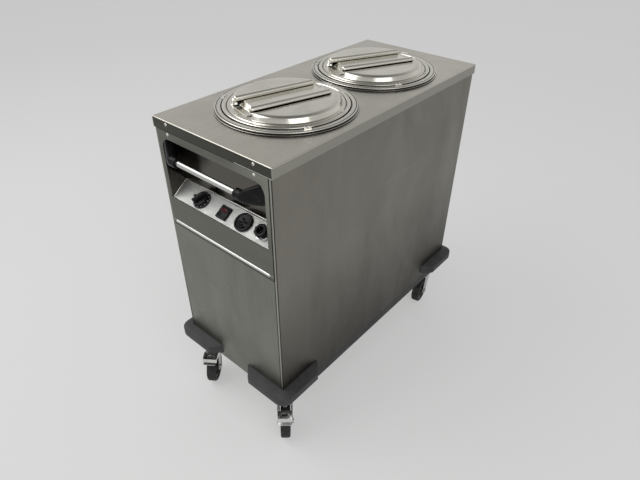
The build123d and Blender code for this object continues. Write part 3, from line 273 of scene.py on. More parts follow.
def bridge(bm, first, second):
    """Faces between two closed rings; a ring of one vertex is a pole."""
    count = max(len(first), len(second))
    for i in range(count):
        j = (i + 1) % count
        loop = (first[i % len(first)], first[j % len(first)],
                second[j % len(second)], second[i % len(second)])
        corners = [vertex for k, vertex in enumerate(loop) if vertex not in loop[:k]]
        if len(corners) > 2:
            bm.faces.new(corners)


def revolve(bm, profile, steps=ROUND_STEPS, closed=True):
    """Profile of (radius, height) turned about Z; returns its rings."""
    rings = []
    for radius, height in profile:
        around = 1 if radius < 1e-6 else steps
        rings.append(ring_of(bm, [(radius * c, radius * s, height) for c, s in circle(around)]))
    for first, second in zip(rings, rings[1:] + rings[:1] if closed else rings[1:]):
        bridge(bm, first, second)
    return rings


def loft(bm, sections):
    """Skin through closed sections of as many points; returns their rings."""
    rings = [ring_of(bm, section) for section in sections]
    for first, second in zip(rings, rings[1:]):
        bridge(bm, first, second)
    return rings


def bevel(bm, edges, radius, steps=2):
    """Round the given edges."""
    bmesh.ops.bevel(bm, geom=edges, offset=radius, segments=steps, profile=0.5, affect="EDGES",
                    clamp_overlap=True)


def round_edges(bm, radius, sharper_than=30):
    """Round every edge between faces that meet at more than an angle in degrees."""
    bevel(bm, [edge for edge in bm.edges
               if edge.is_manifold and edge.calc_face_angle() > radians(sharper_than)], radius)


def shade(mesh):
    """Smooth shading with sharp edges kept."""
    mesh.polygons.foreach_set("use_smooth", [True] * len(mesh.polygons))
    mesh.set_sharp_from_angle(angle=SMOOTH_ANGLE)
    return mesh


def to_mesh(bm, name, place=None):
    """Close a bmesh into a mesh: doubles merged, normals outward, smooth but for sharp edges."""
    bmesh.ops.remove_doubles(bm, verts=bm.verts, dist=1e-6)
    bmesh.ops.recalc_face_normals(bm, faces=bm.faces)
    mesh = bpy.data.meshes.new(name)
    bm.to_mesh(mesh)
    bm.free()
    if place is not None:
        mesh.transform(place)
    return shade(mesh)


def turned_mesh(name, points, radii, round_steps=5, steps=ROUND_STEPS, closed=True, place=None):
    """Mesh of a rounded profile of (radius, height), turned about Z."""
    bm = bmesh.new()
    revolve(bm, rounded(points, radii, round_steps, closed), steps, closed)
    return to_mesh(bm, name, place)


def lofted_mesh(name, sections, place=None, soft=0.0):
    """Mesh of a skin through closed sections with flat ends, its sharpest edges softened."""
    bm = bmesh.new()
    rings = loft(bm, sections)
    bm.faces.new(rings[0])
    bm.faces.new(rings[-1])
    if soft:
        round_edges(bm, soft, 50)
    return to_mesh(bm, name, place)


def softened(node, radius):
    """Copy of a CAD node with its edges rounded."""
    bm = bmesh.new()
    bm.from_mesh(NODES[node].data)
    bmesh.ops.remove_doubles(bm, verts=bm.verts, dist=1e-5)
    bmesh.ops.dissolve_limit(bm, angle_limit=radians(0.5), verts=bm.verts, edges=bm.edges)
    round_edges(bm, radius)
    return to_mesh(bm, node + "_soft")


def joined(name, meshes, place=None):
    """Several meshes as one."""
    bm = bmesh.new()
    for mesh in meshes:
        bm.from_mesh(mesh)
    made = bpy.data.meshes.new(name)
    bm.to_mesh(made)
    bm.free()
    if place is not None:
        made.transform(place)
    return shade(made)


def new_object(name, data):
    """Object in the scene for some data."""
    made = bpy.data.objects.new(name, data)
    bpy.context.scene.collection.objects.link(made)
    return made


def evaluated(holder):
    """Plain mesh of an object with its modifiers applied; the object is removed."""
    bpy.context.view_layer.update()
    graph = bpy.context.evaluated_depsgraph_get()
    mesh = bpy.data.meshes.new_from_object(holder.evaluated_get(graph))
    bpy.data.objects.remove(holder)
    return mesh


def grown(name, tree, values, place=None, points=None):
    """Result of a Geometry Nodes tree as a plain mesh, moved to its place."""
    seed = new_object(name + ".seed", points or bpy.data.meshes.new(name + ".seed"))
    modifier = seed.modifiers.new("Repeat", "NODES")
    modifier.node_group = tree
    for item in tree.interface.items_tree:
        if item.item_type == "SOCKET" and item.in_out == "INPUT" and item.name in values:
            modifier[item.identifier] = values[item.name]
    mesh = evaluated(seed)
    mesh.name = name
    if place is not None:
        mesh.transform(place)
    return mesh


def paint(mesh, finish):
    """Give a mesh one finish."""
    mesh.materials.clear()
    mesh.materials.append(FINISH[finish])


def piece(name, mesh, finish, body, slot, *nodes):
    """Object that rides on a body, in place of the CAD nodes named."""
    paint(mesh, finish)
    made = new_object(name, mesh)
    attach(made, body)
    if nodes:
        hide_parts(*nodes)


# --- Nodes ---

class Net:
    """Nodes of one tree. An input is a value, another node's output, or a list of outputs."""

    def __init__(self, tree):
        self.tree = tree

    def feed(self, node, inputs):
        """Set or link a node's inputs."""
        for key, value in inputs.items():
            for source in value if isinstance(value, list) else [value]:
                if isinstance(source, bpy.types.NodeSocket):
                    self.tree.links.new(source, node.inputs[key])
                else:
                    node.inputs[key].default_value = source

    def add(self, kind, inputs=None, output=0, **settings):
        """Add a node with its settings; returns one of its outputs, or all of them for None."""
        node = self.tree.nodes.new(kind)
        for key, value in settings.items():
            setattr(node, key, value)
        self.feed(node, inputs or {})
        return node.outputs if output is None else node.outputs[output]

    def math(self, operation, first, second, clamp=False):
        """Sum, product or other result of two numbers."""
        return self.add("ShaderNodeMath", {0: first, 1: second}, operation=operation, use_clamp=clamp)

    def times(self, first, second):
        """Product of two numbers."""
        return self.math("MULTIPLY", first, second)

    def spread(self, value, low, high, to_low=0.0, to_high=1.0):
        """Value moved from one range to another, held inside it."""
        return self.add("ShaderNodeMapRange", {"Value": value, "From Min": low, "From Max": high,
                                               "To Min": to_low, "To Max": to_high})

    def mix(self, factor, first, second):
        """Colour between two, by a factor."""
        return self.add("ShaderNodeMix", {0: factor, 6: first, 7: second}, output=2, data_type="RGBA")

    def noise(self, at, scale, detail, roughness=0.5, distortion=0.0):
        """Noise from 0 to 1."""
        return self.add("ShaderNodeTexNoise", {"Vector": at, "Scale": scale, "Detail": detail,
                                               "Roughness": roughness, "Distortion": distortion})

    def moved(self, at, scale=(1.0, 1.0, 1.0), turn=(0.0, 0.0, 0.0)):
        """Coordinates stretched and turned."""
        return self.add("ShaderNodeMapping", {"Vector": at, "Scale": scale, "Rotation": turn})

    def vector(self, operation, first, second=(0.0, 0.0, 0.0), output=0):
        """Sum, difference or length of vectors."""
        return self.add("ShaderNodeVectorMath", {0: first, 1: second}, output, operation=operation)

    def xyz(self, x=0.0, y=0.0, z=0.0):
        """Vector from three numbers."""
        return self.add("ShaderNodeCombineXYZ", {0: x, 1: y, 2: z})

    def parts(self, vector):
        """X, Y and Z of a vector."""
        return self.add("ShaderNodeSeparateXYZ", {0: vector}, output=None)

    def group(self, group, inputs):
        """Outputs of a shared effect."""
        return self.add("ShaderNodeGroup", inputs, output=None, node_tree=group)

    def block(self, size, height):
        """Box of a size with its middle at a height."""
        cube = self.add("GeometryNodeMeshCube", {"Size": self.xyz(*size)})
        return self.add("GeometryNodeTransform", {"Geometry": cube, "Translation": self.xyz(z=height)})

    def repeat(self, end, points, item, way, axis, material):
        """End a tree: an item on every point, one axis turned to a direction, made real."""
        turn = self.add("FunctionNodeAlignRotationToVector", {"Vector": way}, axis=axis)
        items = self.add("GeometryNodeInstanceOnPoints", {"Points": points, "Instance": item,
                                                          "Rotation": turn})
        real = self.add("GeometryNodeRealizeInstances", {"Geometry": items})
        painted = self.add("GeometryNodeSetMaterial", {"Geometry": real, "Material": material})
        self.feed(end, {"Geometry": painted})


def new_group(name, kind, inputs, *outputs):
    """Node group with named sockets: its net, its inputs and its end node."""
    tree = bpy.data.node_groups.new(name, kind)
    for socket, (word, default) in inputs.items():
        made = tree.interface.new_socket(socket, in_out="INPUT", socket_type="NodeSocket" + word)
        if default is not None:
            made.default_value = default
    word = "Geometry" if kind == "GeometryNodeTree" else "Float"
    for socket in outputs:
        tree.interface.new_socket(socket, in_out="OUTPUT", socket_type="NodeSocket" + word)
    return Net(tree), tree.nodes.new("NodeGroupInput").outputs, tree.nodes.new("NodeGroupOutput")


# --- Shared shader effects ---

def brushed_grain_group():
    """Fine parallel grain: a height for bump and a tone for colour and roughness."""
    net, given, end = new_group("Brushed Grain", "ShaderNodeTree", {
        "Vector": ("Vector", None), "Stretch": ("Vector", (1.0, 1.0, 1.0))}, "Height", "Tone")
    lines = net.moved(given["Vector"], given["Stretch"])
    fine = net.noise(lines, 1100.0, 3.0)
    broad = net.noise(lines, 140.0, 4.0, 0.6)
    net.feed(end, {"Height": fine, "Tone": net.math("ADD", net.times(fine, 0.35), net.times(broad, 0.65))})
    return net.tree


def turned_grain_group():
    """Grain that runs in circles about a centre, as on turned or spun sheet."""
    net, given, end = new_group("Turned Grain", "ShaderNodeTree", {
        "Vector": ("Vector", None), "Centre": ("Vector", (0.0, 0.0, 0.0))}, "Height", "Tone")
    parts = net.parts(net.vector("SUBTRACT", given["Vector"], given["Centre"]))
    flat = net.xyz(parts[0], parts[1])
    radius = net.vector("LENGTH", flat, output="Value")
    around = net.add("ShaderNodeVectorMath", {0: flat, "Scale": 9.0}, operation="SCALE")
    height = net.math("ADD", net.times(radius, 900.0), net.times(parts[2], 900.0))
    fine = net.noise(net.vector("ADD", around, net.xyz(z=height)), 1.0, 3.0)
    net.feed(end, {"Height": fine, "Tone": fine})
    return net.tree


def smudges_group():
    """Cloudy hand smudges and wiped streaks, from 0 for clean to 1."""
    net, given, end = new_group("Smudges", "ShaderNodeTree", {
        "Vector": ("Vector", None), "Size": ("Float", 6.0), "Sharpness": ("Float", 0.12)}, "Mask")
    cloud = net.noise(given["Vector"], given["Size"], 6.0, 0.62, 0.6)
    low, high = (net.math(way, 0.52, given["Sharpness"]) for way in ("SUBTRACT", "ADD"))
    net.feed(end, {"Mask": net.spread(cloud, low, high)})
    return net.tree


def scuffs_group():
    """Thin light scuffs in two directions."""
    net, given, end = new_group("Scuffs", "ShaderNodeTree", {
        "Vector": ("Vector", None), "Size": ("Float", 60.0), "Amount": ("Float", 0.3)}, "Mask")
    masks = []
    for turn, stretch in ((0.5, (0.12, 1.0, 1.0)), (-0.9, (1.0, 0.1, 1.0))):
        lines = net.moved(given["Vector"], stretch, (turn, turn, turn))
        masks.append(net.spread(net.noise(lines, given["Size"], 3.0), 0.63, 0.72))
    net.feed(end, {"Mask": net.times(net.math("MAXIMUM", *masks), given["Amount"])})
    return net.tree


def moulded_skin_group():
    """Fine spark-eroded texture of moulded plastic and rubber."""
    net, given, end = new_group("Moulded Skin", "ShaderNodeTree", {
        "Vector": ("Vector", None), "Grain Size": ("Float", 900.0)}, "Height", "Mottle")
    net.feed(end, {"Height": net.noise(given["Vector"], given["Grain Size"], 2.0),
                   "Mottle": net.noise(given["Vector"], 22.0, 5.0)})
    return net.tree


def floor_dirt_group():
    """Dust and splashes that thin out upwards from the floor."""
    net, given, end = new_group("Floor Dirt", "ShaderNodeTree", {
        "Vector": ("Vector", None), "Reach": ("Float", 0.3)}, "Mask")
    fade = net.spread(net.parts(given["Vector"])[2], 0.0, given["Reach"], 1.0, 0.0)
    spots = net.spread(net.noise(given["Vector"], 38.0, 6.0, 0.7), 0.42, 0.68)
    net.feed(end, {"Mask": net.times(fade, spots)})
    return net.tree


# --- Materials ---

def scaled(tint, factor):
    """Colour times a factor, with an alpha of 1."""
    return tuple(part * factor for part in tint) + (1.0,)


class Finishes:
    """The cart's materials, made once from the colours and the shared groups."""

    def __init__(self, settings):
        self.settings = settings
        self.groups = {"grain": brushed_grain_group(), "turned": turned_grain_group(),
                       "smudges": smudges_group(), "scuffs": scuffs_group(),
                       "skin": moulded_skin_group(), "dirt": floor_dirt_group()}
        self.made = {}

    def start(self, name):
        """New material: its net, its shader and its Object coordinates."""
        material = bpy.data.materials.new(name)
        material.use_nodes = True
        self.made[name] = material
        net = Net(material.node_tree)
        return net, net.tree.nodes["Principled BSDF"], net.add("ShaderNodeTexCoord", output="Object")

    def end(self, net, shader, height, distance, strength, inputs):
        """Feed a bump height and the other values into the shader."""
        bump = net.add("ShaderNodeBump", {"Height": height, "Distance": distance, "Strength": strength})
        net.feed(shader, {**inputs, "Normal": bump})

    def dusty(self, net, at, base, roughness, reach, amount, tint):
        """Colour and roughness under dust that reaches up from the floor."""
        dirt = net.times(net.group(self.groups["dirt"], {"Vector": at, "Reach": reach})["Mask"], amount)
        return net.mix(dirt, base, tint), net.math("ADD", roughness, net.times(dirt, 0.3), clamp=True)

    def zone(self, net, values, soft=0.0006, **limits):
        """Mask of a box with soft borders; r is the distance from Z."""
        mask = 1.0
        for axis, (low, high) in limits.items():
            if low is not None:
                mask = net.times(mask, net.spread(values[axis], low - soft, low + soft))
            if high is not None:
                mask = net.times(mask, net.spread(values[axis], high - soft, high + soft, 1.0, 0.0))
        return mask

    def strap_frame(self, net, at, end, turn):
        """Coordinates with a lid's middle as their origin and Y along its strap."""
        centre = middle(end + "_collar")
        return net.moved(net.vector("SUBTRACT", at, (centre.x, centre.y, 0.0)), turn=(0.0, 0.0, turn))

    def steel(self, name, tint, stretch=None, centre=None, rough=(0.22, 0.36), tone=0.16, smudge=0.5,
              smudge_size=6.0, smear=1.0, dirt=0.0, scratch=0.0, shade=None, strap=None, zones=()):
        """Brushed or turned metal with smudges: stretch for straight grain, centre for turned grain.

        Zones are (colour, box) pairs. Strap gives the lid and turn that they are measured from. Shade
        is painted shade that darkens the metal from a height down to the floor.
        """
        net, shader, at = self.start(name)
        local = self.strap_frame(net, at, *strap) if strap else at
        if centre is None:
            grain = net.group(self.groups["grain"], {"Vector": local, "Stretch": stretch})
        else:
            grain = net.group(self.groups["turned"], {"Vector": at, "Centre": centre})
        drawn = net.moved(at, (1.0, 1.0, smear))
        smudged = net.group(self.groups["smudges"], {"Vector": drawn, "Size": smudge_size})["Mask"]
        mask = net.times(smudged, smudge * self.settings.smudges)
        tones = net.spread(grain["Tone"], 0.34, 0.66)
        base = net.mix(tones, scaled(tint, 1.0 - tone), scaled(tint, 1.0 + tone))
        base = net.mix(mask, base, scaled(tint, 0.72))
        roughness = net.spread(grain["Tone"], 0.3, 0.7, *rough)
        roughness = net.math("ADD", roughness, net.times(mask, 0.22), clamp=True)
        if dirt:
            base, roughness = self.dusty(net, at, base, roughness, 0.42, dirt, UPPER_DUST)
        if scratch:
            marks = net.group(self.groups["scuffs"], {"Vector": at, "Size": 26.0, "Amount": scratch})
            base = net.mix(marks["Mask"], base, scaled(tint, 2.2))
        if shade:
            # painted shade, darker from the first height down to the floor
            down = net.spread(net.parts(at)[2], 0.1, shade[0], shade[1], 0.0)
            base = net.mix(down, base, scaled(tint, 0.08))
        if zones:
            x, y, z = net.parts(local)
            values = {"x": x, "y": y, "z": z, "r": net.vector("LENGTH", net.xyz(x, y), output="Value")}
            for zone_tint, box in zones:
                base = net.mix(self.zone(net, values, **box), base, (*zone_tint[:3], 1.0))
        self.end(net, shader, grain["Height"], GRAIN_DEPTH, self.settings.grain,
                 {"Base Color": base, "Roughness": roughness, "Metallic": 1.0})

    def moulded(self, name, tint, rough=(0.32, 0.46), skin=900.0, depth=0.00008, scuff=0.3,
                scuff_colour=0.25, dirt=0.0, sheen=0.3):
        """Moulded plastic or rubber with a fine skin, scuffs and dust."""
        net, shader, at = self.start(name)
        texture = net.group(self.groups["skin"], {"Vector": at, "Grain Size": skin})
        scuffs = net.group(self.groups["scuffs"], {"Vector": at, "Amount": scuff * self.settings.wear})
        mottle = net.spread(texture["Mottle"], 0.3, 0.7)
        base = net.mix(mottle, scaled(tint, 0.78), scaled(tint, 1.25))
        base = net.mix(scuffs["Mask"], base, scaled((1.0, 1.0, 1.0), scuff_colour))
        roughness = net.spread(texture["Mottle"], 0.3, 0.7, *rough)
        if dirt:
            base, roughness = self.dusty(net, at, base, roughness, 0.26, dirt, LOWER_DUST)
        self.end(net, shader, texture["Height"], depth, 0.5,
                 {"Base Color": base, "Roughness": roughness, "Specular IOR Level": sheen})

    def casing(self, s):
        """Steel of the table top, the panels and the sheets, with their seams and edges, and with painted
        shade and painted highlights.
        """
        low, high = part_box("top_plate")
        front, under = low.y + 0.0016, high.z - 0.0026
        # Painted shade on the front skirt, a painted shadow under the fold over it, painted shade on the
        # right skirt and a painted highlight along the front skirt's lower edge
        self.steel("table_top_steel", s.table_steel, ALONG_Y, tone=0.07, smudge=0.7, scratch=0.03, zones=(
            (scaled(s.upper_steel, 0.42), {"y": (None, front), "z": (None, under)}),
            (DARK_JOINT_AND_PAINTED_SHADE, {"y": (None, front), "z": (under - 0.0024, under)}),
            (scaled(s.table_steel, 0.62), {"x": (high.x - 0.0016, None), "z": (None, under)}),
            (s.hem_and_painted_highlight, {"y": (None, low.y + 0.0012), "z": (None, low.z + 0.0012), "x": (0.09, None)})))
        side, (sheet_low, sheet_high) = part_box("side_panel_right")[1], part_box("front_upper_sheet")
        face, seam, edge = -side.y + 0.0008, sheet_high.x, side.x - 0.0014
        # Painted light on the return's front face, the dark seams beside the front sheets and a painted
        # shadow along the corner's edge
        self.steel("side_panel_steel", s.side_steel, ALONG_Z, rough=(0.28, 0.42), tone=0.045, smudge=1.4,
                   smudge_size=4.5, smear=0.5, dirt=0.25, shade=(0.6, 0.95), scratch=0.04, zones=(
                       (s.lit_return_steel, {"y": (None, face), "x": (seam, edge)}),
                       (DARK_JOINT_AND_PAINTED_SHADE, {"y": (None, face), "x": (seam - 0.001, seam + 0.0012)}),
                       (DARK_JOINT_AND_PAINTED_SHADE, {"y": (None, face), "x": (-seam - 0.0012, -seam + 0.001)}),
                       (DARK_JOINT_AND_PAINTED_SHADE, {"y": (None, face + 0.0012), "x": (edge, None)})))
        bead, proud = sheet_low.z + 0.012, sheet_low.y + 0.0026
        # Painted light on the sheet's upper right, a painted highlight on the bead's top and painted shade
        # under it, and the dark seam below with painted shade along it
        self.steel("upper_sheet_steel", s.upper_steel, ALONG_X, smudge=0.6, zones=(
            (scaled(s.upper_steel, 1.7), {"soft": 0.07, "x": (0.12, None), "z": (0.81, None)}),
            (s.hem_and_painted_highlight, {"y": (None, proud), "z": (bead - 0.0008, bead + 0.006)}),
            (DARK_JOINT_AND_PAINTED_SHADE, {"y": (None, proud), "z": (bead - 0.006, bead - 0.0008)}),
            (DARK_JOINT_AND_PAINTED_SHADE, {"z": (None, sheet_low.z + 0.0026)})))
        self.steel("lower_sheet_steel", s.lower_steel, ALONG_Z, rough=(0.26, 0.4), tone=0.1, smudge=1.2,
                   smear=0.5, dirt=0.25, shade=(0.35, 0.15), scratch=0.06)
        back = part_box("recess_box")[1].y - 0.014
        # The unlit left of the recess, wider at its top
        unlit = [(UNLIT, {"soft": 0.014, "x": (None, right), "y": (back, None), "z": (lowest, None)})
                 for right, lowest in ((-0.070, 0.842), (-0.092, 0.822))]
        self.steel("recess_polished_steel", s.recess_steel, ALONG_X, rough=(0.12, 0.2), tone=0.06,
                   zones=unlit)
        self.steel("control_panel_aluminium", s.panel_steel, ALONG_X, rough=(0.44, 0.56), tone=0.06,
                   smudge=0.9, smudge_size=16.0)
        self.steel("push_tube_aluminium", s.tube_steel, ALONG_X, rough=(0.26, 0.34), tone=0.05, smudge=0.3)
        self.steel("hem_steel", s.hem_and_painted_highlight, ALONG_X, rough=(0.2, 0.3), tone=0.05, smudge=0.3)

    def lids(self, s, details):
        """Polished steel of the collars, lids and straps, with painted shade in their gaps and slots."""
        for end, turn in zip(ENDS, (details.front_turn, details.rear_turn)):
            centre = middle(end + "_collar")
            top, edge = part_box(end + "_lid")[1].z, radius_of(end + "_lid")
            floor, groove = top - details.pan_height, edge - details.groove_in
            inner = details.bead_offset - 0.0085
            outer = details.pan_chord + details.pan_height * tan(details.pan_draft) - 0.0004
            reach = (-details.strap_level / 2 - details.leg_run, details.strap_level / 2)
            # Painted shade in the slots between strap and pans, under the rolled rim and in the groove
            gaps = [(PAINTED_GAP_SHADE, {"x": limits, "y": reach, "z": (None, top - 0.0022)})
                    for limits in ((inner, outer), (-outer, -inner))]
            gaps.append((PAINTED_GAP_SHADE, {"r": (edge - 0.0052, None),
                                    "z": (None, floor - details.rim_radius * 0.55)}))
            gaps.append((PAINTED_GAP_SHADE, {"r": (groove - 0.0012, groove + 0.0012), "z": (None, floor - 0.0002)}))
            self.steel(end + "_lid_steel", s.lid_steel, centre=centre, rough=(0.12, 0.22), tone=0.05,
                       smudge=1.0, smudge_size=11.0, strap=(end, turn), zones=gaps)
            foot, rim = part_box(end + "_collar")[0].z, radius_of(end + "_collar")
            groove, rebate = rim - COLLAR_GROOVE_IN, rim - COLLAR_REBATE_IN
            # Painted shade round the foot on the table top, under the step, in the groove and at the rebate
            gaps = [(PAINTED_GAP_SHADE, {"r": (rim - 0.0008, None), "z": (None, foot + 0.0026)}),
                    (PAINTED_GAP_SHADE, {"r": (rim - 0.0046, rim - 0.0024), "z": (foot + 0.0022, foot + 0.0066)}),
                    (PAINTED_GAP_SHADE, {"r": (groove - 0.0012, groove + 0.0012)}),
                    (PAINTED_GAP_SHADE, {"r": (None, rebate + 0.0020), "z": (None, foot + 0.0079)})]
            self.steel(end + "_collar_steel", s.lid_steel, centre=centre, rough=(0.18, 0.28), tone=0.06,
                       smudge=0.6, strap=(end, turn), zones=gaps)
            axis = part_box(end + "_lid_grip")[1].z - details.bead_radius
            lip, crease = details.bead_offset + 0.001, details.bead_offset - 0.0062
            # Painted shade under the beads and in the creases beside them
            gaps = [(PAINTED_GAP_SHADE, {"x": limits, "z": (None, height)}) for limits, height in (
                ((lip, None), axis - 0.001), ((None, -lip), axis - 0.001),
                ((crease - 0.0012, crease + 0.0008), axis - 0.0036),
                ((-crease - 0.0008, -crease + 0.0012), axis - 0.0036))]
            self.steel(end + "_strap_steel", s.strap_steel, (1.0, 0.05, 1.0), rough=(0.16, 0.26), tone=0.06,
                       smudge=0.8, smudge_size=14.0, strap=(end, turn), zones=gaps)

    def fittings(self, s):
        """Plated, chromed and bare metal of the small pieces and of the dispensers."""
        self.steel("clip_steel", (0.80, 0.79, 0.76), ALONG_X, rough=(0.1, 0.18), tone=0.04, smudge=0.2)
        self.steel("screw_steel", (0.72, 0.71, 0.68), ALONG_X, rough=(0.12, 0.2), tone=0.04, smudge=0.2)
        self.steel("castor_zinc", s.zinc, ALONG_Z, rough=(0.2, 0.34), tone=0.1, smudge=0.9, smudge_size=40.0,
                   dirt=0.35)
        self.steel("pedal_zinc", s.pedal_zinc, ALONG_X, rough=(0.16, 0.28), tone=0.08, smudge=0.6,
                   smudge_size=50.0, dirt=0.12)
        self.steel("inlet_ring_chrome", (0.78, 0.78, 0.78), ALONG_X, rough=(0.05, 0.1), tone=0.03, smudge=0.2)
        self.steel("well_steel", (0.46, 0.455, 0.43), ALONG_Z, rough=(0.24, 0.36), tone=0.1, smudge=0.6)
        self.steel("spring_wire", (0.55, 0.55, 0.54), ALONG_Z, rough=(0.16, 0.26), tone=0.05, smudge=0.3)
        self.steel("heater_steel", (0.22, 0.20, 0.18), ALONG_X, rough=(0.35, 0.5), tone=0.2, smudge=0.9,
                   smudge_size=30.0)

    def plastics(self, s):
        """Moulded plastic, paint and rubber."""
        self.moulded("frame_paint", s.dark_paint, rough=(0.4, 0.52), scuff=0.4, dirt=0.2)
        self.moulded("black_plastic", s.black_plastic, rough=(0.24, 0.34), scuff=0.12, sheen=0.16)
        self.moulded("knob_plastic", s.black_plastic, rough=(0.26, 0.36), skin=1400.0, depth=0.00004,
                     scuff=0.08, sheen=0.14)
        self.moulded("rocker_plastic", s.black_plastic, rough=(0.2, 0.3), skin=1600.0, depth=0.00002,
                     scuff=0.1, sheen=0.12)
        self.moulded("lens_red", s.lens_red, rough=(0.2, 0.3), skin=300.0, depth=0.00003, scuff=0.05,
                     sheen=0.15)
        self.moulded("dial_print", s.print_white, rough=(0.4, 0.5), depth=0.00001, scuff=0.2,
                     scuff_colour=0.1)
        self.moulded("bumper_rubber", s.bumper, rough=(0.48, 0.62), skin=650.0, depth=0.00016, scuff=0.7,
                     scuff_colour=0.14, dirt=0.22)
        self.moulded("tyre_rubber", s.tyre, rough=(0.55, 0.7), skin=500.0, depth=0.00014, dirt=0.4)
        self.moulded("rim_plastic", s.rim, rough=(0.36, 0.5), scuff=0.4, dirt=0.3)

    def build(self, details):
        """Make every material of the cart."""
        self.casing(self.settings)
        self.lids(self.settings, details)
        self.fittings(self.settings)
        self.plastics(self.settings)
        return self.made


FINISH = {}
KEPT_SHAPES = {                 # finishes of the CAD nodes that keep their own shape
    "table_top_steel": ("top_plate",),
    "side_panel_steel": ("side_panel_left", "side_panel_right"),
    "lower_sheet_steel": ("rear_sheet", "front_lower_sheet"),
    "upper_sheet_steel": ("front_upper_sheet",),
    "recess_polished_steel": ("recess_box",),
    "control_panel_aluminium": ("control_panel",),
    "frame_paint": ("base_tray", "base_rails", "top_rails"),
    "black_plastic": ("thermostat",),
    "well_steel": ("front_tube", "rear_tube", "front_platform", "rear_platform", "guide_rods"),
    "spring_wire": ("front_springs", "rear_springs"),
    "heater_steel": ("heaters",),
    "castor_zinc": ("castor_plates",),
    "inlet_ring_chrome": ("inlet_ring",),
}


class CART_OT_finishes(bpy.types.Operator):
    """Make the materials and give the plain CAD pieces theirs"""
    bl_idname = "cart.finishes"
    bl_label = "Finishes"

    def execute(self, context):
        FINISH.update(Finishes(context.scene.cart_finishes).build(context.scene.cart_details))
        for finish, nodes in KEPT_SHAPES.items():
            for node in nodes:
                paint(NODES[node].data, finish)
        return {"FINISHED"}


# --- Collars and lids ---

def collar_mesh(end):
    """Stepped ring with rounded edges, turned about its own middle."""
    foot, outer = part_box(end + "_collar")[0].z, radius_of(end + "_collar")
    bore, step = outer - COLLAR_BORE_IN, outer - 0.0035
    rebate, groove = outer - COLLAR_REBATE_IN, outer - COLLAR_GROOVE_IN
    flange, top = foot + 0.003, foot + COLLAR_TOP
    ledge = top - 0.0045
    points = [(bore, foot), (outer, foot), (outer, flange), (step, flange), (step - 0.0006, top),
              (groove + 0.0008, top), (groove, top - 0.0007), (groove - 0.0008, top),
              (rebate, top), (rebate, ledge), (bore, ledge)]
    radii = [0, 0, 0.0012, 0.0007, 0.0024, 0.0003, 0, 0.0003, 0.0007, 0.0006, 0.0007]
    return turned_mesh(end + "_collar_ring", points, radii, place=well_frame(end))


def clip_mesh(end, turn):
    """Centring clip in the collar's rebate: a rounded saddle with a notch in its middle."""
    low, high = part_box(end + "_collar")
    inner, deep = radius_of(end + "_collar") - 0.0222, 0.0085
    half, notch, notch_foot = 0.009, 0.003, 0.0018
    foot, top = low.z + 0.004, high.z
    valley = top - 0.0022
    outline = rounded([(-half, foot), (half, foot), (half, top), (notch, top), (notch_foot, valley),
                       (-notch_foot, valley), (-notch, top), (-half, top)],
                      [0, 0, 0.0028, 0.0008, 0.0006, 0.0006, 0.0008, 0.0028])
    sections = [[(x, y, z) for x, z in outline] for y in (inner, inner + deep)]
    return lofted_mesh(end + "_clip", sections, well_frame(end, turn), soft=0.0005)


def pan_outline(details, edge, shrink, height):
    """D-shaped outline of a pan, drawn in by shrink."""
    radius = edge - details.pan_in - shrink
    chord = details.pan_chord + shrink
    corner = max(details.pan_corner - shrink, 0.003)
    x = chord + corner
    y = sqrt((radius - corner) ** 2 - x ** 2)
    turn = atan2(y, x)
    outline = arc(0, 0, radius, -turn, turn, 64)
    outline += arc(x, y, corner, turn, pi, 10)[1:]
    outline += [(chord, y - 2 * y * i / 20) for i in range(1, 20)]
    outline += arc(x, -y, corner, -pi, -turn, 10)[:-1]
    return [(px, py, height) for px, py in outline]


def lid_skin(details, edge, floor):
    """The pressed sheet of a lid: rolled rim, groove, flat floor and two raised pans."""
    bm = bmesh.new()
    rim, inner_edge = details.rim_radius, edge - 0.0185
    groove, half, valley = edge - details.groove_in, details.groove_width / 2, floor - details.groove_depth
    line = rounded([(inner_edge, floor), (groove - half, floor), (groove - half / 3, valley),
                    (groove + half / 3, valley), (groove + half, floor), (edge - rim, floor)],
                   [0, 0.001, 0.001, 0.001, 0.001, 0], 4, False)
    line += arc(edge - rim, floor - rim + 0.0003, rim, radians(84), radians(-165), 20)
    borders = [revolve(bm, line, closed=False)[0]]
    slope, height = details.pan_height * tan(details.pan_draft), details.pan_height
    steps = rounded([(-0.0015, 0), (0, 0), (slope, height), (slope + 0.016, height)],
                    [0, 0.0022, details.pan_round, 0], 9, False)
    for side in (1, -1):
        sections = [pan_outline(details, edge, shrink, floor + rise) for shrink, rise in steps]
        pan = loft(bm, [[(side * x, side * y, z) for x, y, z in section] for section in sections])
        bm.faces.new(pan[-1])
        borders.append(pan[0])
    edges = [bm.edges.get((border[i - 1], border[i])) for border in borders for i in range(len(border))]
    bmesh.ops.triangle_fill(bm, use_beauty=True, edges=edges)
    mesh = to_mesh(bm, "lid_skin")
    if sum(face.normal.z * face.area for face in mesh.polygons) < 0:
        mesh.flip_normals()
    holder = new_object("lid_sheet", mesh)
    wall = holder.modifiers.new("Wall", "SOLIDIFY")
    wall.thickness = details.lid_sheet
    wall.offset = -1.0
    wall.use_even_offset = True
    wall.use_quality_normals = True
    return evaluated(holder)


def lid_skirt(details, edge, floor):
    """Locating ring under the lid."""
    outer, under = edge - 0.0098, floor - details.lid_sheet
    inner, top, low = outer - details.lid_sheet, under - 0.0012, under - 0.012
    return turned_mesh("lid_skirt", [(inner, low), (outer, low), (outer, top), (inner, top)],
                       [0.0004, 0.0004, 0, 0], 3)


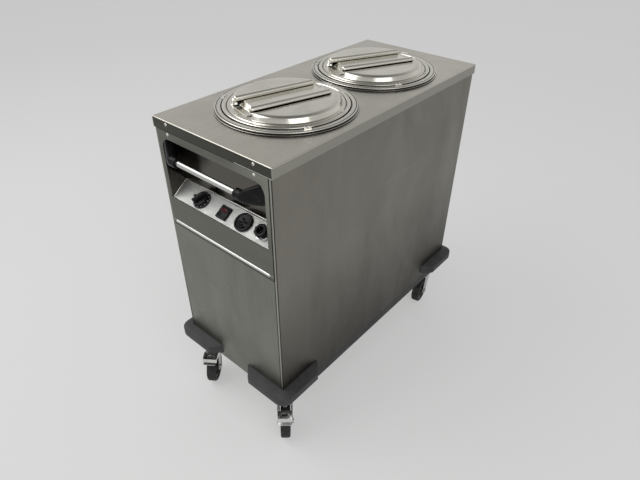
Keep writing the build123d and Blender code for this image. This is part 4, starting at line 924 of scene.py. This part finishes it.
def staple_mesh(radius, floor, turn):
    """Small bent-wire staple on the lid's floor, beside the groove."""
    wire, half, rise = 0.0009, 0.0042, 0.0036
    path = [(-half, 0.0)] + arc(0, rise - half * 0.4, half, pi, 0, 12) + [(half, 0.0)]
    sections = [[(x - wire * c * way.y, radius + wire * s, floor + max(z, 0.0) + wire * c * way.x)
                 for c, s in circle(10)] for (x, z), way in zip(path, headings(path))]
    return lofted_mesh("staple", sections, turned(turn))


def strap_meshes(details, end):
    """Wide strap with leaning legs and feet, and a rolled bead along each long edge."""
    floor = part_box(end + "_lid")[1].z - details.pan_height
    bead, reach = details.bead_radius, details.bead_length / 2
    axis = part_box(end + "_lid_grip")[1].z - bead
    sheet, bend = details.strap_sheet, details.strap_bend
    foot, top = floor + sheet, axis - bead + 2 * sheet
    level = details.strap_level / 2
    heel = level + details.leg_run
    toe = heel + details.strap_foot
    upper = rounded([(-toe, foot), (-heel, foot), (-level, top), (level, top), (heel, foot), (toe, foot)],
                    [0, bend, 2 * bend, 2 * bend, bend, 0], 8, False)
    lower = [(y + way.y * sheet, z - way.x * sheet) for (y, z), way in zip(upper, headings(upper))]
    width = details.bead_offset - bead * 0.6
    bm = bmesh.new()
    rings = loft(bm, [[(x, y, z) for y, z in upper + lower[::-1]] for x in (-width, width)])
    count = len(upper)
    for ring in rings:
        for i in range(count - 1):
            bm.faces.new((ring[i], ring[i + 1], ring[2 * count - 2 - i], ring[2 * count - 1 - i]))
    meshes = [to_mesh(bm, "strap")]
    for side in (-1, 1):
        place = Matrix.Translation((side * details.bead_offset, -details.bead_shift, axis))
        meshes.append(turned_mesh("bead", [(0, -reach), (bead, -reach), (bead, reach), (0, reach)],
                                  [0, details.bead_end, details.bead_end, 0], 10, SMALL_STEPS, False,
                                  place @ turned(radians(-90), "X")))
    return meshes


class CART_OT_lids(bpy.types.Operator):
    """Make the collars with their clips, the pressed lids and their straps"""
    bl_idname = "cart.lids"
    bl_label = "Collars and lids"

    def execute(self, context):
        details = context.scene.cart_details
        for end, turn in zip(ENDS, (details.front_turn, details.rear_turn)):
            lid_name, collar_name, place = end + "_lid", end + "_collar", well_frame(end, turn)
            piece(collar_name + "_ring", collar_mesh(end), collar_name + "_steel", "root", "collar_steel",
                  collar_name)
            clips = joined(collar_name + "_clips", [clip_mesh(end, radians(lug)) for lug in (0, 120, 240)])
            piece(collar_name + "_clips", clips, "clip_steel", "root", "collar_steel", collar_name)
            edge, floor = radius_of(lid_name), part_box(lid_name)[1].z - details.pan_height
            staple = staple_mesh(edge - 0.0052, floor, turn - radians(76))
            meshes = [lid_skin(details, edge, floor), lid_skirt(details, edge, floor), staple]
            lid = joined(end + "_pressed_lid", meshes, place)
            piece(end + "_pressed_lid", lid, end + "_lid_steel", lid_name, "lid_steel", lid_name)
            strap = joined(end + "_lid_strap", strap_meshes(details, end), place)
            piece(end + "_lid_strap", strap, end + "_strap_steel", lid_name, "lid_steel", end + "_lid_grip")
        return {"FINISHED"}


# --- Push handle ---

def bracket_mesh(side, tube):
    """Fan-shaped bracket: a collar on the tube that flares to a tall foot on the recess wall."""
    low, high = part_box("handle_bracket_right")
    sheet_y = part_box("front_upper_sheet")[1].y
    collar, foot_deep, neck = 0.0135, 0.040, low.x + 0.020
    flare, base = 18, collar * 1.02
    corner_x, corner = 0.154, 0.030         # upper corner of the hand opening: its middle and radius
    foot_y, foot_z, foot_half = high.y - foot_deep / 2, (high.z + low.z) / 2, (high.z - low.z) / 2
    around = circle(64)
    # The collar's end, its first band, a groove and its second band, in from the tube's end
    steps = [(low.x, 0.92), (low.x + 0.0012, 1.0), (low.x + 0.006, 1.0), (low.x + 0.0068, 0.955),
             (low.x + 0.0096, 0.955), (low.x + 0.0104, 1.0), (neck - 0.004, 1.0), (neck, 1.02)]
    sections = [[(x, tube.y + collar * swell * c, tube.z + collar * swell * s) for c, s in around]
                for x, swell in steps]
    for i in range(1, flare + 1):
        t = i / flare
        x = neck + (high.x - neck) * t
        half_z = base + (foot_half - base) * min(1.0, t ** 0.85 * 1.25)
        half_y = base + (foot_deep / 2 - base) * t
        y0 = tube.y + (foot_y - tube.y) * t ** 1.15
        z0 = tube.z + (foot_z - tube.z) * t
        power = 2.0 / (2.0 + 4.5 * min(1.0, 1.6 * t))       # from a round section to a squarer one
        ring = []
        for c, s in around:
            y = y0 + half_y * copysign(abs(c) ** power, c)
            z = z0 + half_z * copysign(abs(s) ** power, s)
            past_x, past_z = x - corner_x, z - (high.z - corner)
            outside = past_x > 0 and past_z > 0 and hypot(past_x, past_z) > corner - 0.0006
            near_edge = x > high.x - 0.0008 or z > high.z - 0.0008
            if (outside or near_edge) and y < sheet_y:
                y = sheet_y + 0.0002
            ring.append((x, y, z))
        sections.append(ring)
    mesh = lofted_mesh("bracket", sections)
    if side < 0:
        mesh.transform(Matrix.Scale(-1.0, 4, (1.0, 0.0, 0.0)))
        mesh.flip_normals()
    return mesh


class CART_OT_handle(bpy.types.Operator):
    """Make the push tube and its moulded brackets"""
    bl_idname = "cart.handle"
    bl_label = "Push handle"

    def execute(self, context):
        low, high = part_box("push_tube")
        tube, radius = middle("push_tube"), (high.z - low.z) / 2
        bore = radius - 0.0015
        bar = turned_mesh("push_bar", [(bore, low.x), (radius, low.x), (radius, high.x), (bore, high.x)],
                          [0, 0, 0, 0], steps=SMALL_STEPS,
                          place=Matrix.Translation((0.0, tube.y, tube.z)) @ turned(radians(90), "Y"))
        piece("push_bar", bar, "push_tube_aluminium", "root", "tube_aluminium", "push_tube")
        for side, word in ((-1, "left"), (1, "right")):
            piece("bar_bracket_" + word, bracket_mesh(side, tube), "black_plastic", "root", "black_plastic",
                  "handle_bracket_" + word)
        return {"FINISHED"}


# --- Controls ---

def knob_mesh(place):
    """Skirted pointer knob: dished skirt, cap, tapered grip bar and nub."""
    foot, skirt, cap, cap_top = 0.0005, 0.026, 0.019, 0.0104
    body = turned_mesh("knob_body", [(0, foot), (skirt, foot), (skirt, 0.0028), (cap + 0.0012, 0.0052),
                                     (cap, cap_top), (0, cap_top)],
                       [0, 0.0004, 0.0012, 0.0012, 0.0012, 0], 4, 96, False)
    sections = []
    for height, grow in ((0.0096, 1.12), (0.014, 1.0), (0.020, 0.9), (0.0218, 0.80), (0.0225, 0.60)):
        half_width = 0.0042 * grow
        end = 0.0205 * (0.75 + 0.25 * grow) - half_width
        outline = arc(end, 0, half_width, -pi / 2, pi / 2, 12)
        outline += arc(-end, 0, half_width, pi / 2, 3 * pi / 2, 12)
        sections.append([(x, y, height) for x, y in outline])
    grip = lofted_mesh("knob_grip", sections, turned(radians(58)))
    nub_radius, nub_out = 0.0044, -0.0220
    nub = lofted_mesh("knob_nub", [[(nub_radius * k * c, nub_radius * k * s, z) for c, s in circle(24)]
                                   for k, z in ((1.0, foot), (1.0, 0.0092), (0.92, 0.0102), (0.7, 0.0105))],
                      Matrix.Translation((nub_out, 0.0, 0.0)))
    return joined("dial_knob", [body, grip, nub], place)


def dial_marks_tree():
    """Geometry Nodes tree: short marks on an arc, pointing at its middle."""
    net, given, end = new_group("Dial Marks", "GeometryNodeTree", {
        "Count": ("Int", 9), "Radius": ("Float", 0.0225), "First": ("Float", 0.0), "Sweep": ("Float", 4.0),
        "Mark": ("Vector", (0.002, 0.0006, 0.0002)), "Material": ("Material", None)}, "Geometry")
    path = net.add("GeometryNodeCurveArc", {"Resolution": given["Count"], "Radius": given["Radius"],
                                            "Start Angle": given["First"], "Sweep Angle": given["Sweep"]})
    mark = net.add("GeometryNodeMeshCube", {"Size": given["Mark"]})
    net.repeat(end, path, mark, net.add("GeometryNodeInputPosition"), "X", given["Material"])
    return net.tree


def number_mesh(text, size, place):
    """One number as a thin raised print."""
    curve = bpy.data.curves.new("number", "FONT")
    curve.body = text
    curve.size = size
    curve.extrude = 0.00008
    curve.align_x = "CENTER"
    curve.align_y = "CENTER"
    mesh = evaluated(new_object("number", curve))
    mesh.transform(place)
    return mesh


def rod_mesh(start, stop, radius):
    """Round rod with rounded ends between two points."""
    along = Vector(stop) - Vector(start)
    across = (0.0, 0.0, 1.0) if abs(along.x) > abs(along.z) else (1.0, 0.0, 0.0)
    return turned_mesh("rod", [(0, 0), (radius, 0), (radius, along.length), (0, along.length)],
                       [0, radius * 0.6, radius * 0.6, 0], 4, 20, False, place_at(start, along, across))


def panel_hems():
    """Rolled hems along the control panel's rear lip and up its left end."""
    low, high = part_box("control_panel")
    sheet, radius = 0.0015, 0.0013
    left, right = low.x + 2 * radius, high.x - radius
    front, rear = low.y + 0.002, high.y - sheet / 2
    spot, out = Vector(JOINTS["thermostat_turn"]["pos_m"]), Vector(JOINTS["thermostat_turn"]["axis"])
    front_z = spot.z - (front - spot.y) * out.y / out.z
    corner = (left, rear, high.z)
    return joined("panel_hems", [rod_mesh(corner, (right, rear, high.z), radius),
                                 rod_mesh((left, front, front_z), corner, radius)])


class CART_OT_controls(bpy.types.Operator):
    """Make the dial with its numbers, the switch, the sockets and the panel's hems"""
    bl_idname = "cart.controls"
    bl_label = "Controls"

    def execute(self, context):
        details = context.scene.cart_details
        place = joint_frame("thermostat_turn", (1.0, 0.0, 0.0))
        first, sweep, count = 205, 270, 9
        piece("dial_knob", knob_mesh(place), "knob_plastic", "thermostat_knob", "knob_plastic",
              "thermostat_knob")
        marks = grown("dial_marks", dial_marks_tree(),
                      {"Count": 2 * count + 1, "Radius": 0.0251, "First": radians(first),
                       "Sweep": radians(sweep), "Mark": (0.0013, 0.0005, 0.0004),
                       "Material": FINISH["dial_print"]}, place @ Matrix.Translation((0, 0, 0.0033)))
        piece("dial_marks", marks, "dial_print", "thermostat_knob", "knob_plastic")
        lying = Matrix.Translation((0.0227, 0, 0.00435)) @ turned(radians(22), "Y") @ turned(radians(90))
        numbers = [number_mesh(str(i + 1), details.number_size,
                               place @ turned(radians(first + sweep * (i + 0.5) / count)) @ lying)
                   for i in range(count)]
        piece("dial_numbers", joined("dial_numbers", numbers), "dial_print", "thermostat_knob",
              "knob_plastic")
        for name, node, softness, finish, body, slot in (
                ("switch_frame", "switch_housing", 0.6, "black_plastic", "root", "black_plastic"),
                ("rocker_key", "switch_rocker", 0.5, "rocker_plastic", "switch_rocker", "rocker_plastic"),
                ("rocker_window", "switch_lens", 0.3, "lens_red", "switch_rocker", "lens_red"),
                ("round_socket", "storage_socket", 0.6, "black_plastic", "root", "black_plastic"),
                ("inlet_body", "supply_inlet", 0.8, "black_plastic", "root", "black_plastic")):
            piece(name, softened(node, details.edge_round * softness), finish, body, slot, node)
        piece("panel_hems", panel_hems(), "hem_steel", "root", "panel_aluminium")
        return {"FINISHED"}


# --- Bumpers ---

def bumper_mesh(details, side, end):
    """L-shaped buffer whose top falls away from the casing; drawn at the right rear."""
    low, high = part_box("bumper_rear_right")
    case_x, case_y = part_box("side_panel_right")[1].x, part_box("rear_sheet")[1].y
    proud_x, proud_y = high.x - case_x, high.y - case_y
    fall, turn = 0.0075, 0.036
    corner = arc(high.x - turn, high.y - turn, turn, 0, pi / 2, 16)
    outline = [(case_x, low.y), (high.x, low.y + proud_x), *corner, (low.x + proud_y, high.y),
               (low.x, case_y), (case_x, case_y)]
    bm = bmesh.new()
    bottom = ring_of(bm, [(x, y, low.z) for x, y in outline])
    top = ring_of(bm, [(x, y, high.z - fall * max((x - case_x) / proud_x, (y - case_y) / proud_y, 0.0))
                       for x, y in outline])
    bridge(bm, bottom, top)
    bm.faces.new(bottom)
    inner, last = top[-1], len(corner) + 1
    bm.faces.new((top[0], top[1], top[2], inner))
    for i in range(2, last):
        bm.faces.new((top[i], top[i + 1], inner))
    bm.faces.new((top[last], top[last + 1], top[last + 2], inner))
    bmesh.ops.recalc_face_normals(bm, faces=bm.faces)
    rim = [edge for edge in bm.edges if edge.calc_face_angle(0) > radians(20) and not any(
        abs(v.co.x - case_x) < 1e-5 or abs(v.co.y - case_y) < 1e-5 for v in edge.verts)]
    bevel(bm, rim, details.bumper_round, 4)
    mesh = to_mesh(bm, "bumper", Matrix.Diagonal((side, end, 1.0, 1.0)))
    if side * end < 0:
        mesh.flip_normals()
    return mesh


class CART_OT_bumpers(bpy.types.Operator):
    """Make the four rubber corner bumpers"""
    bl_idname = "cart.bumpers"
    bl_label = "Bumpers"

    def execute(self, context):
        details = context.scene.cart_details
        for name in CASTORS:
            side = 1 if name.endswith("right") else -1
            end = 1 if name.startswith("rear") else -1
            piece("buffer_" + name, bumper_mesh(details, side, end), "bumper_rubber", "root",
                  "bumper_rubber", "bumper_" + name)
        return {"FINISHED"}


# --- Castors ---

def wheel_frame(name):
    """Place at a wheel's middle with Z along its axle and X upright."""
    return joint_frame("castor_roll_" + name, (0.0, 0.0, 1.0))


def tyre_mesh(name):
    """Tyre with rounded shoulders, tapered to its seat."""
    low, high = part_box("castor_tyre_" + name)
    tread, half, taper = (high.z - low.z) / 2, 0.0145, 0.002
    seat = tread - 0.014
    points = [(seat, -half + taper), (seat + taper, -half), (tread, -half), (tread, half),
              (seat + taper, half), (seat, half - taper)]
    return turned_mesh(name + "_tyre", points, [0, 0.0012, 0.0052, 0.0052, 0.0012, 0], 8, WHEEL_STEPS,
                       place=wheel_frame(name))


def rim_mesh(name):
    """Wheel centre: hub, dished web and tyre seat, all with rounded edges."""
    half = [(0.0051, 0.0155), (0.012, 0.0155), (0.0128, 0.0062), (0.0285, 0.0058), (0.0322, 0.0118),
            (0.0361, 0.0122)]
    radii = [0.0004, 0.0012, 0.002, 0.003, 0.0012, 0.0006]
    return turned_mesh(name + "_rim", half + [(r, -z) for r, z in reversed(half)], radii + radii[::-1], 4,
                       WHEEL_STEPS, place=wheel_frame(name))


def wheel_ribs_tree():
    """Geometry Nodes tree: flat ribs round a hub, on both faces of a wheel."""
    net, given, end = new_group("Wheel Ribs", "GeometryNodeTree", {
        "Count": ("Int", 8), "Radius": ("Float", 0.021), "Rib": ("Vector", (0.019, 0.0028, 0.019)),
        "Material": ("Material", None)}, "Geometry")
    ring = net.add("GeometryNodeMeshCircle", {"Vertices": given["Count"], "Radius": given["Radius"]})
    rib = net.add("GeometryNodeMeshCube", {"Size": given["Rib"]})
    net.repeat(end, ring, rib, net.add("GeometryNodeInputPosition"), "X", given["Material"])
    return net.tree


class CART_OT_castors(bpy.types.Operator):
    """Make the wheels, forks, axles and foot pedals"""
    bl_idname = "cart.castors"
    bl_label = "Castors"

    def execute(self, context):
        soft = context.scene.cart_details.edge_round
        ribs = wheel_ribs_tree()
        for name in CASTORS:
            wheel, fork, axle = "castor_wheel_" + name, "castor_fork_" + name, "castor_axle_" + name
            piece("tyre_" + name, tyre_mesh(name), "tyre_rubber", wheel, "tyre_rubber", "castor_tyre_" + name)
            piece("wheel_centre_" + name, rim_mesh(name), "rim_plastic", wheel, "rim_plastic",
                  "castor_rim_" + name)
            rib = grown("wheel_ribs_" + name, ribs,
                        {"Count": 8, "Radius": 0.0208, "Rib": (0.0185, 0.0026, 0.0204),
                         "Material": FINISH["rim_plastic"]}, wheel_frame(name))
            piece("wheel_ribs_" + name, rib, "rim_plastic", wheel, "rim_plastic")
            piece("fork_" + name, softened(fork, soft), "castor_zinc", fork, "castor_zinc", fork)
            piece("axle_bolt_" + name, softened(axle, soft * 0.7), "castor_zinc", fork, "castor_zinc", axle)
        for name in BRAKED:
            pedal = "brake_pedal_" + name
            piece("pedal_" + name, softened(pedal, soft * 0.8), "pedal_zinc", pedal, "pedal_zinc", pedal)
        return {"FINISHED"}


# --- Fixings ---

def heads_tree(name, make_head):
    """Geometry Nodes tree: heads on points, each facing as its point says."""
    net, given, end = new_group(name, "GeometryNodeTree", {
        "Points": ("Geometry", None), "Head Radius": ("Float", 0.0045), "Head Height": ("Float", 0.0026),
        "Recess Width": ("Float", 0.0009), "Material": ("Material", None)}, "Geometry")
    head = make_head(net, given)
    facing = net.add("GeometryNodeInputNamedAttribute", {"Name": "facing"}, "Attribute",
                     data_type="FLOAT_VECTOR")
    net.repeat(end, given["Points"], head, facing, "Z", given["Material"])
    return net.tree


def domed_head(net, given):
    """Domed head with a cross recess."""
    radius, height, width = given["Head Radius"], given["Head Height"], given["Recess Width"]
    ball = net.add("GeometryNodeMeshUVSphere", {"Segments": 24, "Rings": 16, "Radius": 1.0})
    dome = net.add("GeometryNodeTransform", {"Geometry": ball, "Scale": net.xyz(radius, radius, height)})
    across, depth, arm = net.times(radius, 4.0), net.times(height, 1.1), net.times(radius, 1.05)
    below = net.block((across, across, across), net.times(across, -0.5))
    slots = [net.block(size, height) for size in ((arm, width, depth), (width, arm, depth))]
    return net.add("GeometryNodeMeshBoolean", {"Mesh 1": dome, "Mesh 2": [below] + slots},
                   operation="DIFFERENCE")


def hexagon_head(net, given):
    """Hexagon head with rounded corners."""
    radius = given["Head Radius"]
    prism = net.add("GeometryNodeMeshCylinder", {"Vertices": 6, "Radius": radius,
                                                 "Depth": given["Head Height"]})
    ball = net.add("GeometryNodeMeshUVSphere", {"Segments": 32, "Rings": 24,
                                                "Radius": net.times(radius, 1.12)})
    return net.add("GeometryNodeMeshBoolean", {"Mesh 2": [prism, ball]}, operation="INTERSECT")


def facing_points(name, places):
    """Mesh of points, each with the direction that it faces."""
    mesh = bpy.data.meshes.new(name)
    mesh.from_pydata([place for place, _ in places], [], [])
    attribute = mesh.attributes.new("facing", "FLOAT_VECTOR", "POINT")
    for item, (_, way) in zip(attribute.data, places):
        item.vector = way
    return mesh


def fixing_boxes():
    """Box of each separate screw or bolt in the fixings."""
    bm = bmesh.new()
    bm.from_mesh(NODES["fixings"].data)
    bmesh.ops.remove_doubles(bm, verts=bm.verts, dist=1e-5)
    left = set(bm.verts)
    boxes = []
    while left:
        stack = [left.pop()]
        found = []
        while stack:
            vertex = stack.pop()
            found.append(vertex.co.copy())
            for edge in vertex.link_edges:
                other = edge.other_vert(vertex)
                if other in left:
                    left.remove(other)
                    stack.append(other)
        boxes.append([Vector(pick(point[i] for point in found) for i in range(3)) for pick in (min, max)])
    bm.free()
    return boxes


class CART_OT_fixings(bpy.types.Operator):
    """Make the domed casing screws and the castor bolts"""
    bl_idname = "cart.fixings"
    bl_label = "Fixings"

    def execute(self, context):
        details = context.scene.cart_details
        bolt_height = 0.005
        screws, bolts = [], []
        for low, high in fixing_boxes():
            centre = (low + high) / 2
            if centre.z > 0.5:
                end = 1.0 if centre.y > 0 else -1.0
                foot = (high.y if end > 0 else low.y) - end * details.screw_height
                screws.append(((centre.x, foot, centre.z), (0.0, end, 0.0)))
            else:
                bolts.append(((centre.x, centre.y, low.z + bolt_height / 2), (0.0, 0.0, -1.0)))
        for name, places, make_head, radius, height, finish in (
                ("casing_screws", screws, domed_head, details.screw_radius, details.screw_height,
                 "screw_steel"),
                ("castor_bolts", bolts, hexagon_head, details.bolt_radius, bolt_height, "castor_zinc")):
            heads = grown(name, heads_tree(name, make_head),
                          {"Head Radius": radius, "Head Height": height, "Recess Width": radius * 0.2,
                           "Material": FINISH[finish]}, points=facing_points(name + "_points", places))
            piece(name, shade(heads), finish, "root", "screw_steel", "fixings")
        return {"FINISHED"}


# --- Stage ---

def area_light(name, place, target, size, power):
    """Soft rectangular lamp aimed at a point."""
    lamp = bpy.data.lights.new(name, "AREA")
    lamp.shape = "RECTANGLE"
    lamp.size, lamp.size_y = size
    lamp.energy = power
    made = new_object(name, lamp)
    made.location = place
    made.rotation_euler = (Vector(target) - Vector(place)).to_track_quat("-Z", "Y").to_euler()


def seen_rays(net):
    """1 for camera, glossy and transmission rays."""
    path = net.add("ShaderNodeLightPath", output=None)
    seen = net.math("MAXIMUM", path["Is Camera Ray"], path["Is Glossy Ray"])
    return net.math("MAXIMUM", seen, path["Is Transmission Ray"])


def pale_world(tint, overhead):
    """Even studio light, and a backdrop that darkens overhead for the camera and for polished metal."""
    world = bpy.data.worlds.new("studio")
    world.use_nodes = True
    net = Net(world.node_tree)
    net.tree.nodes.clear()
    height = net.parts(net.add("ShaderNodeTexCoord", output="Generated"))[2]
    fade = net.math("ADD", net.spread(height, 0.05, 0.62, 0.0, 0.42),
                    net.spread(height, 0.62, 1.0, 0.0, 0.58))
    backdrop = net.mix(fade, (*tint, 1.0), (*overhead, 1.0))
    shown = net.add("ShaderNodeBackground", {"Color": backdrop, "Strength": 1.0})
    soft = net.add("ShaderNodeBackground", {"Color": (0.95, 0.97, 1.0, 1.0), "Strength": 0.55})
    both = net.add("ShaderNodeMixShader", {0: seen_rays(net), 1: soft, 2: shown})
    net.add("ShaderNodeOutputWorld", {"Surface": both}, output=None)
    bpy.context.scene.world = world


def floor_material(stage):
    """Pale floor that looks even to the camera and in metal, and still takes the cart's shadow."""
    material = bpy.data.materials.new("floor")
    material.use_nodes = True
    net = Net(material.node_tree)
    shader, tint = net.tree.nodes["Principled BSDF"], (*stage.floor_colour, 1.0)
    net.feed(shader, {"Base Color": tint, "Roughness": 0.75, "Specular IOR Level": 0.2})
    glow = net.add("ShaderNodeEmission", {"Color": tint, "Strength": 1.0})
    mix = net.add("ShaderNodeMixShader", {0: net.times(seen_rays(net), stage.floor_glow),
                                          1: shader.outputs[0], 2: glow})
    net.feed(net.tree.nodes["Material Output"], {"Surface": mix})
    return material


class CART_OT_stage(bpy.types.Operator):
    """Set up the floor, the lamps and the camera"""
    bl_idname = "cart.stage"
    bl_label = "Stage"

    def execute(self, context):
        stage = context.scene.cart_stage
        reach = 14.0
        mesh = bpy.data.meshes.new("floor")
        mesh.from_pydata([(-reach, -reach, 0), (reach, -reach, 0), (reach, reach, 0), (-reach, reach, 0)], [],
                         [(0, 1, 2, 3)])
        mesh.materials.append(floor_material(stage))
        floor = new_object("floor", mesh)
        pale_world(stage.backdrop, stage.overhead)
        area_light("key", (-1.6, -1.5, 2.9), (0.0, 0.0, 0.6), (3.4, 1.5), 48.0)
        area_light("fill", (2.6, -1.2, 2.4), (0.0, 0.0, 0.5), (2.0, 2.0), 22.0)
        self.camera(context, stage)
        context.scene.view_settings.view_transform = "Standard"
        return {"FINISHED"}

    def camera(self, context, stage):
        """Camera at the place and angle that the cart is seen from."""
        back = Vector((sin(stage.azimuth) * cos(stage.elevation), -cos(stage.azimuth) * cos(stage.elevation),
                       sin(stage.elevation)))
        level = Vector((0, 0, 1)).cross(back).normalized()
        above = back.cross(level)
        x = level * cos(stage.roll) + above * sin(stage.roll)
        y = above * cos(stage.roll) - level * sin(stage.roll)
        data = bpy.data.cameras.new("view")
        data.sensor_width = 36.0
        data.lens = stage.lens
        camera = new_object("view", data)
        turn = Matrix((x, y, back)).transposed().to_4x4()
        camera.matrix_world = Matrix.Translation(stage.camera_place) @ turn
        context.scene.camera = camera


# --- Panel and registration ---

OPERATORS = (CART_OT_finishes, CART_OT_stage, CART_OT_lids, CART_OT_handle, CART_OT_controls,
             CART_OT_bumpers, CART_OT_castors, CART_OT_fixings)


class CART_PT_panel(bpy.types.Panel):
    """The cart's operators and settings in the 3D view's sidebar"""
    bl_idname = "CART_PT_panel"
    bl_label = "Plate Dispenser Cart"
    bl_space_type = "VIEW_3D"
    bl_region_type = "UI"
    bl_category = "Cart"

    def draw(self, context):
        for operator in OPERATORS:
            self.layout.operator(operator.bl_idname)
        for group in (context.scene.cart_finishes, context.scene.cart_details, context.scene.cart_stage):
            box = self.layout.box()
            for key in group.bl_rna.properties.keys():
                if key not in ("rna_type", "name"):
                    box.prop(group, key)


CLASSES = (CartFinishes, CartDetails, CartStage) + OPERATORS + (CART_PT_panel,)


def register():
    """Register the classes and hang the settings on the scene."""
    for item in CLASSES:
        bpy.utils.register_class(item)
    bpy.types.Scene.cart_finishes = bpy.props.PointerProperty(type=CartFinishes)
    bpy.types.Scene.cart_details = bpy.props.PointerProperty(type=CartDetails)
    bpy.types.Scene.cart_stage = bpy.props.PointerProperty(type=CartStage)


def unregister():
    """Undo register."""
    del bpy.types.Scene.cart_stage
    del bpy.types.Scene.cart_details
    del bpy.types.Scene.cart_finishes
    for item in reversed(CLASSES):
        bpy.utils.unregister_class(item)


def main():
    """Build the whole scene."""
    register()
    for operator in OPERATORS:
        group, name = operator.bl_idname.split(".")
        getattr(getattr(bpy.ops, group), name)()


if __name__ == "__main__":
    main()
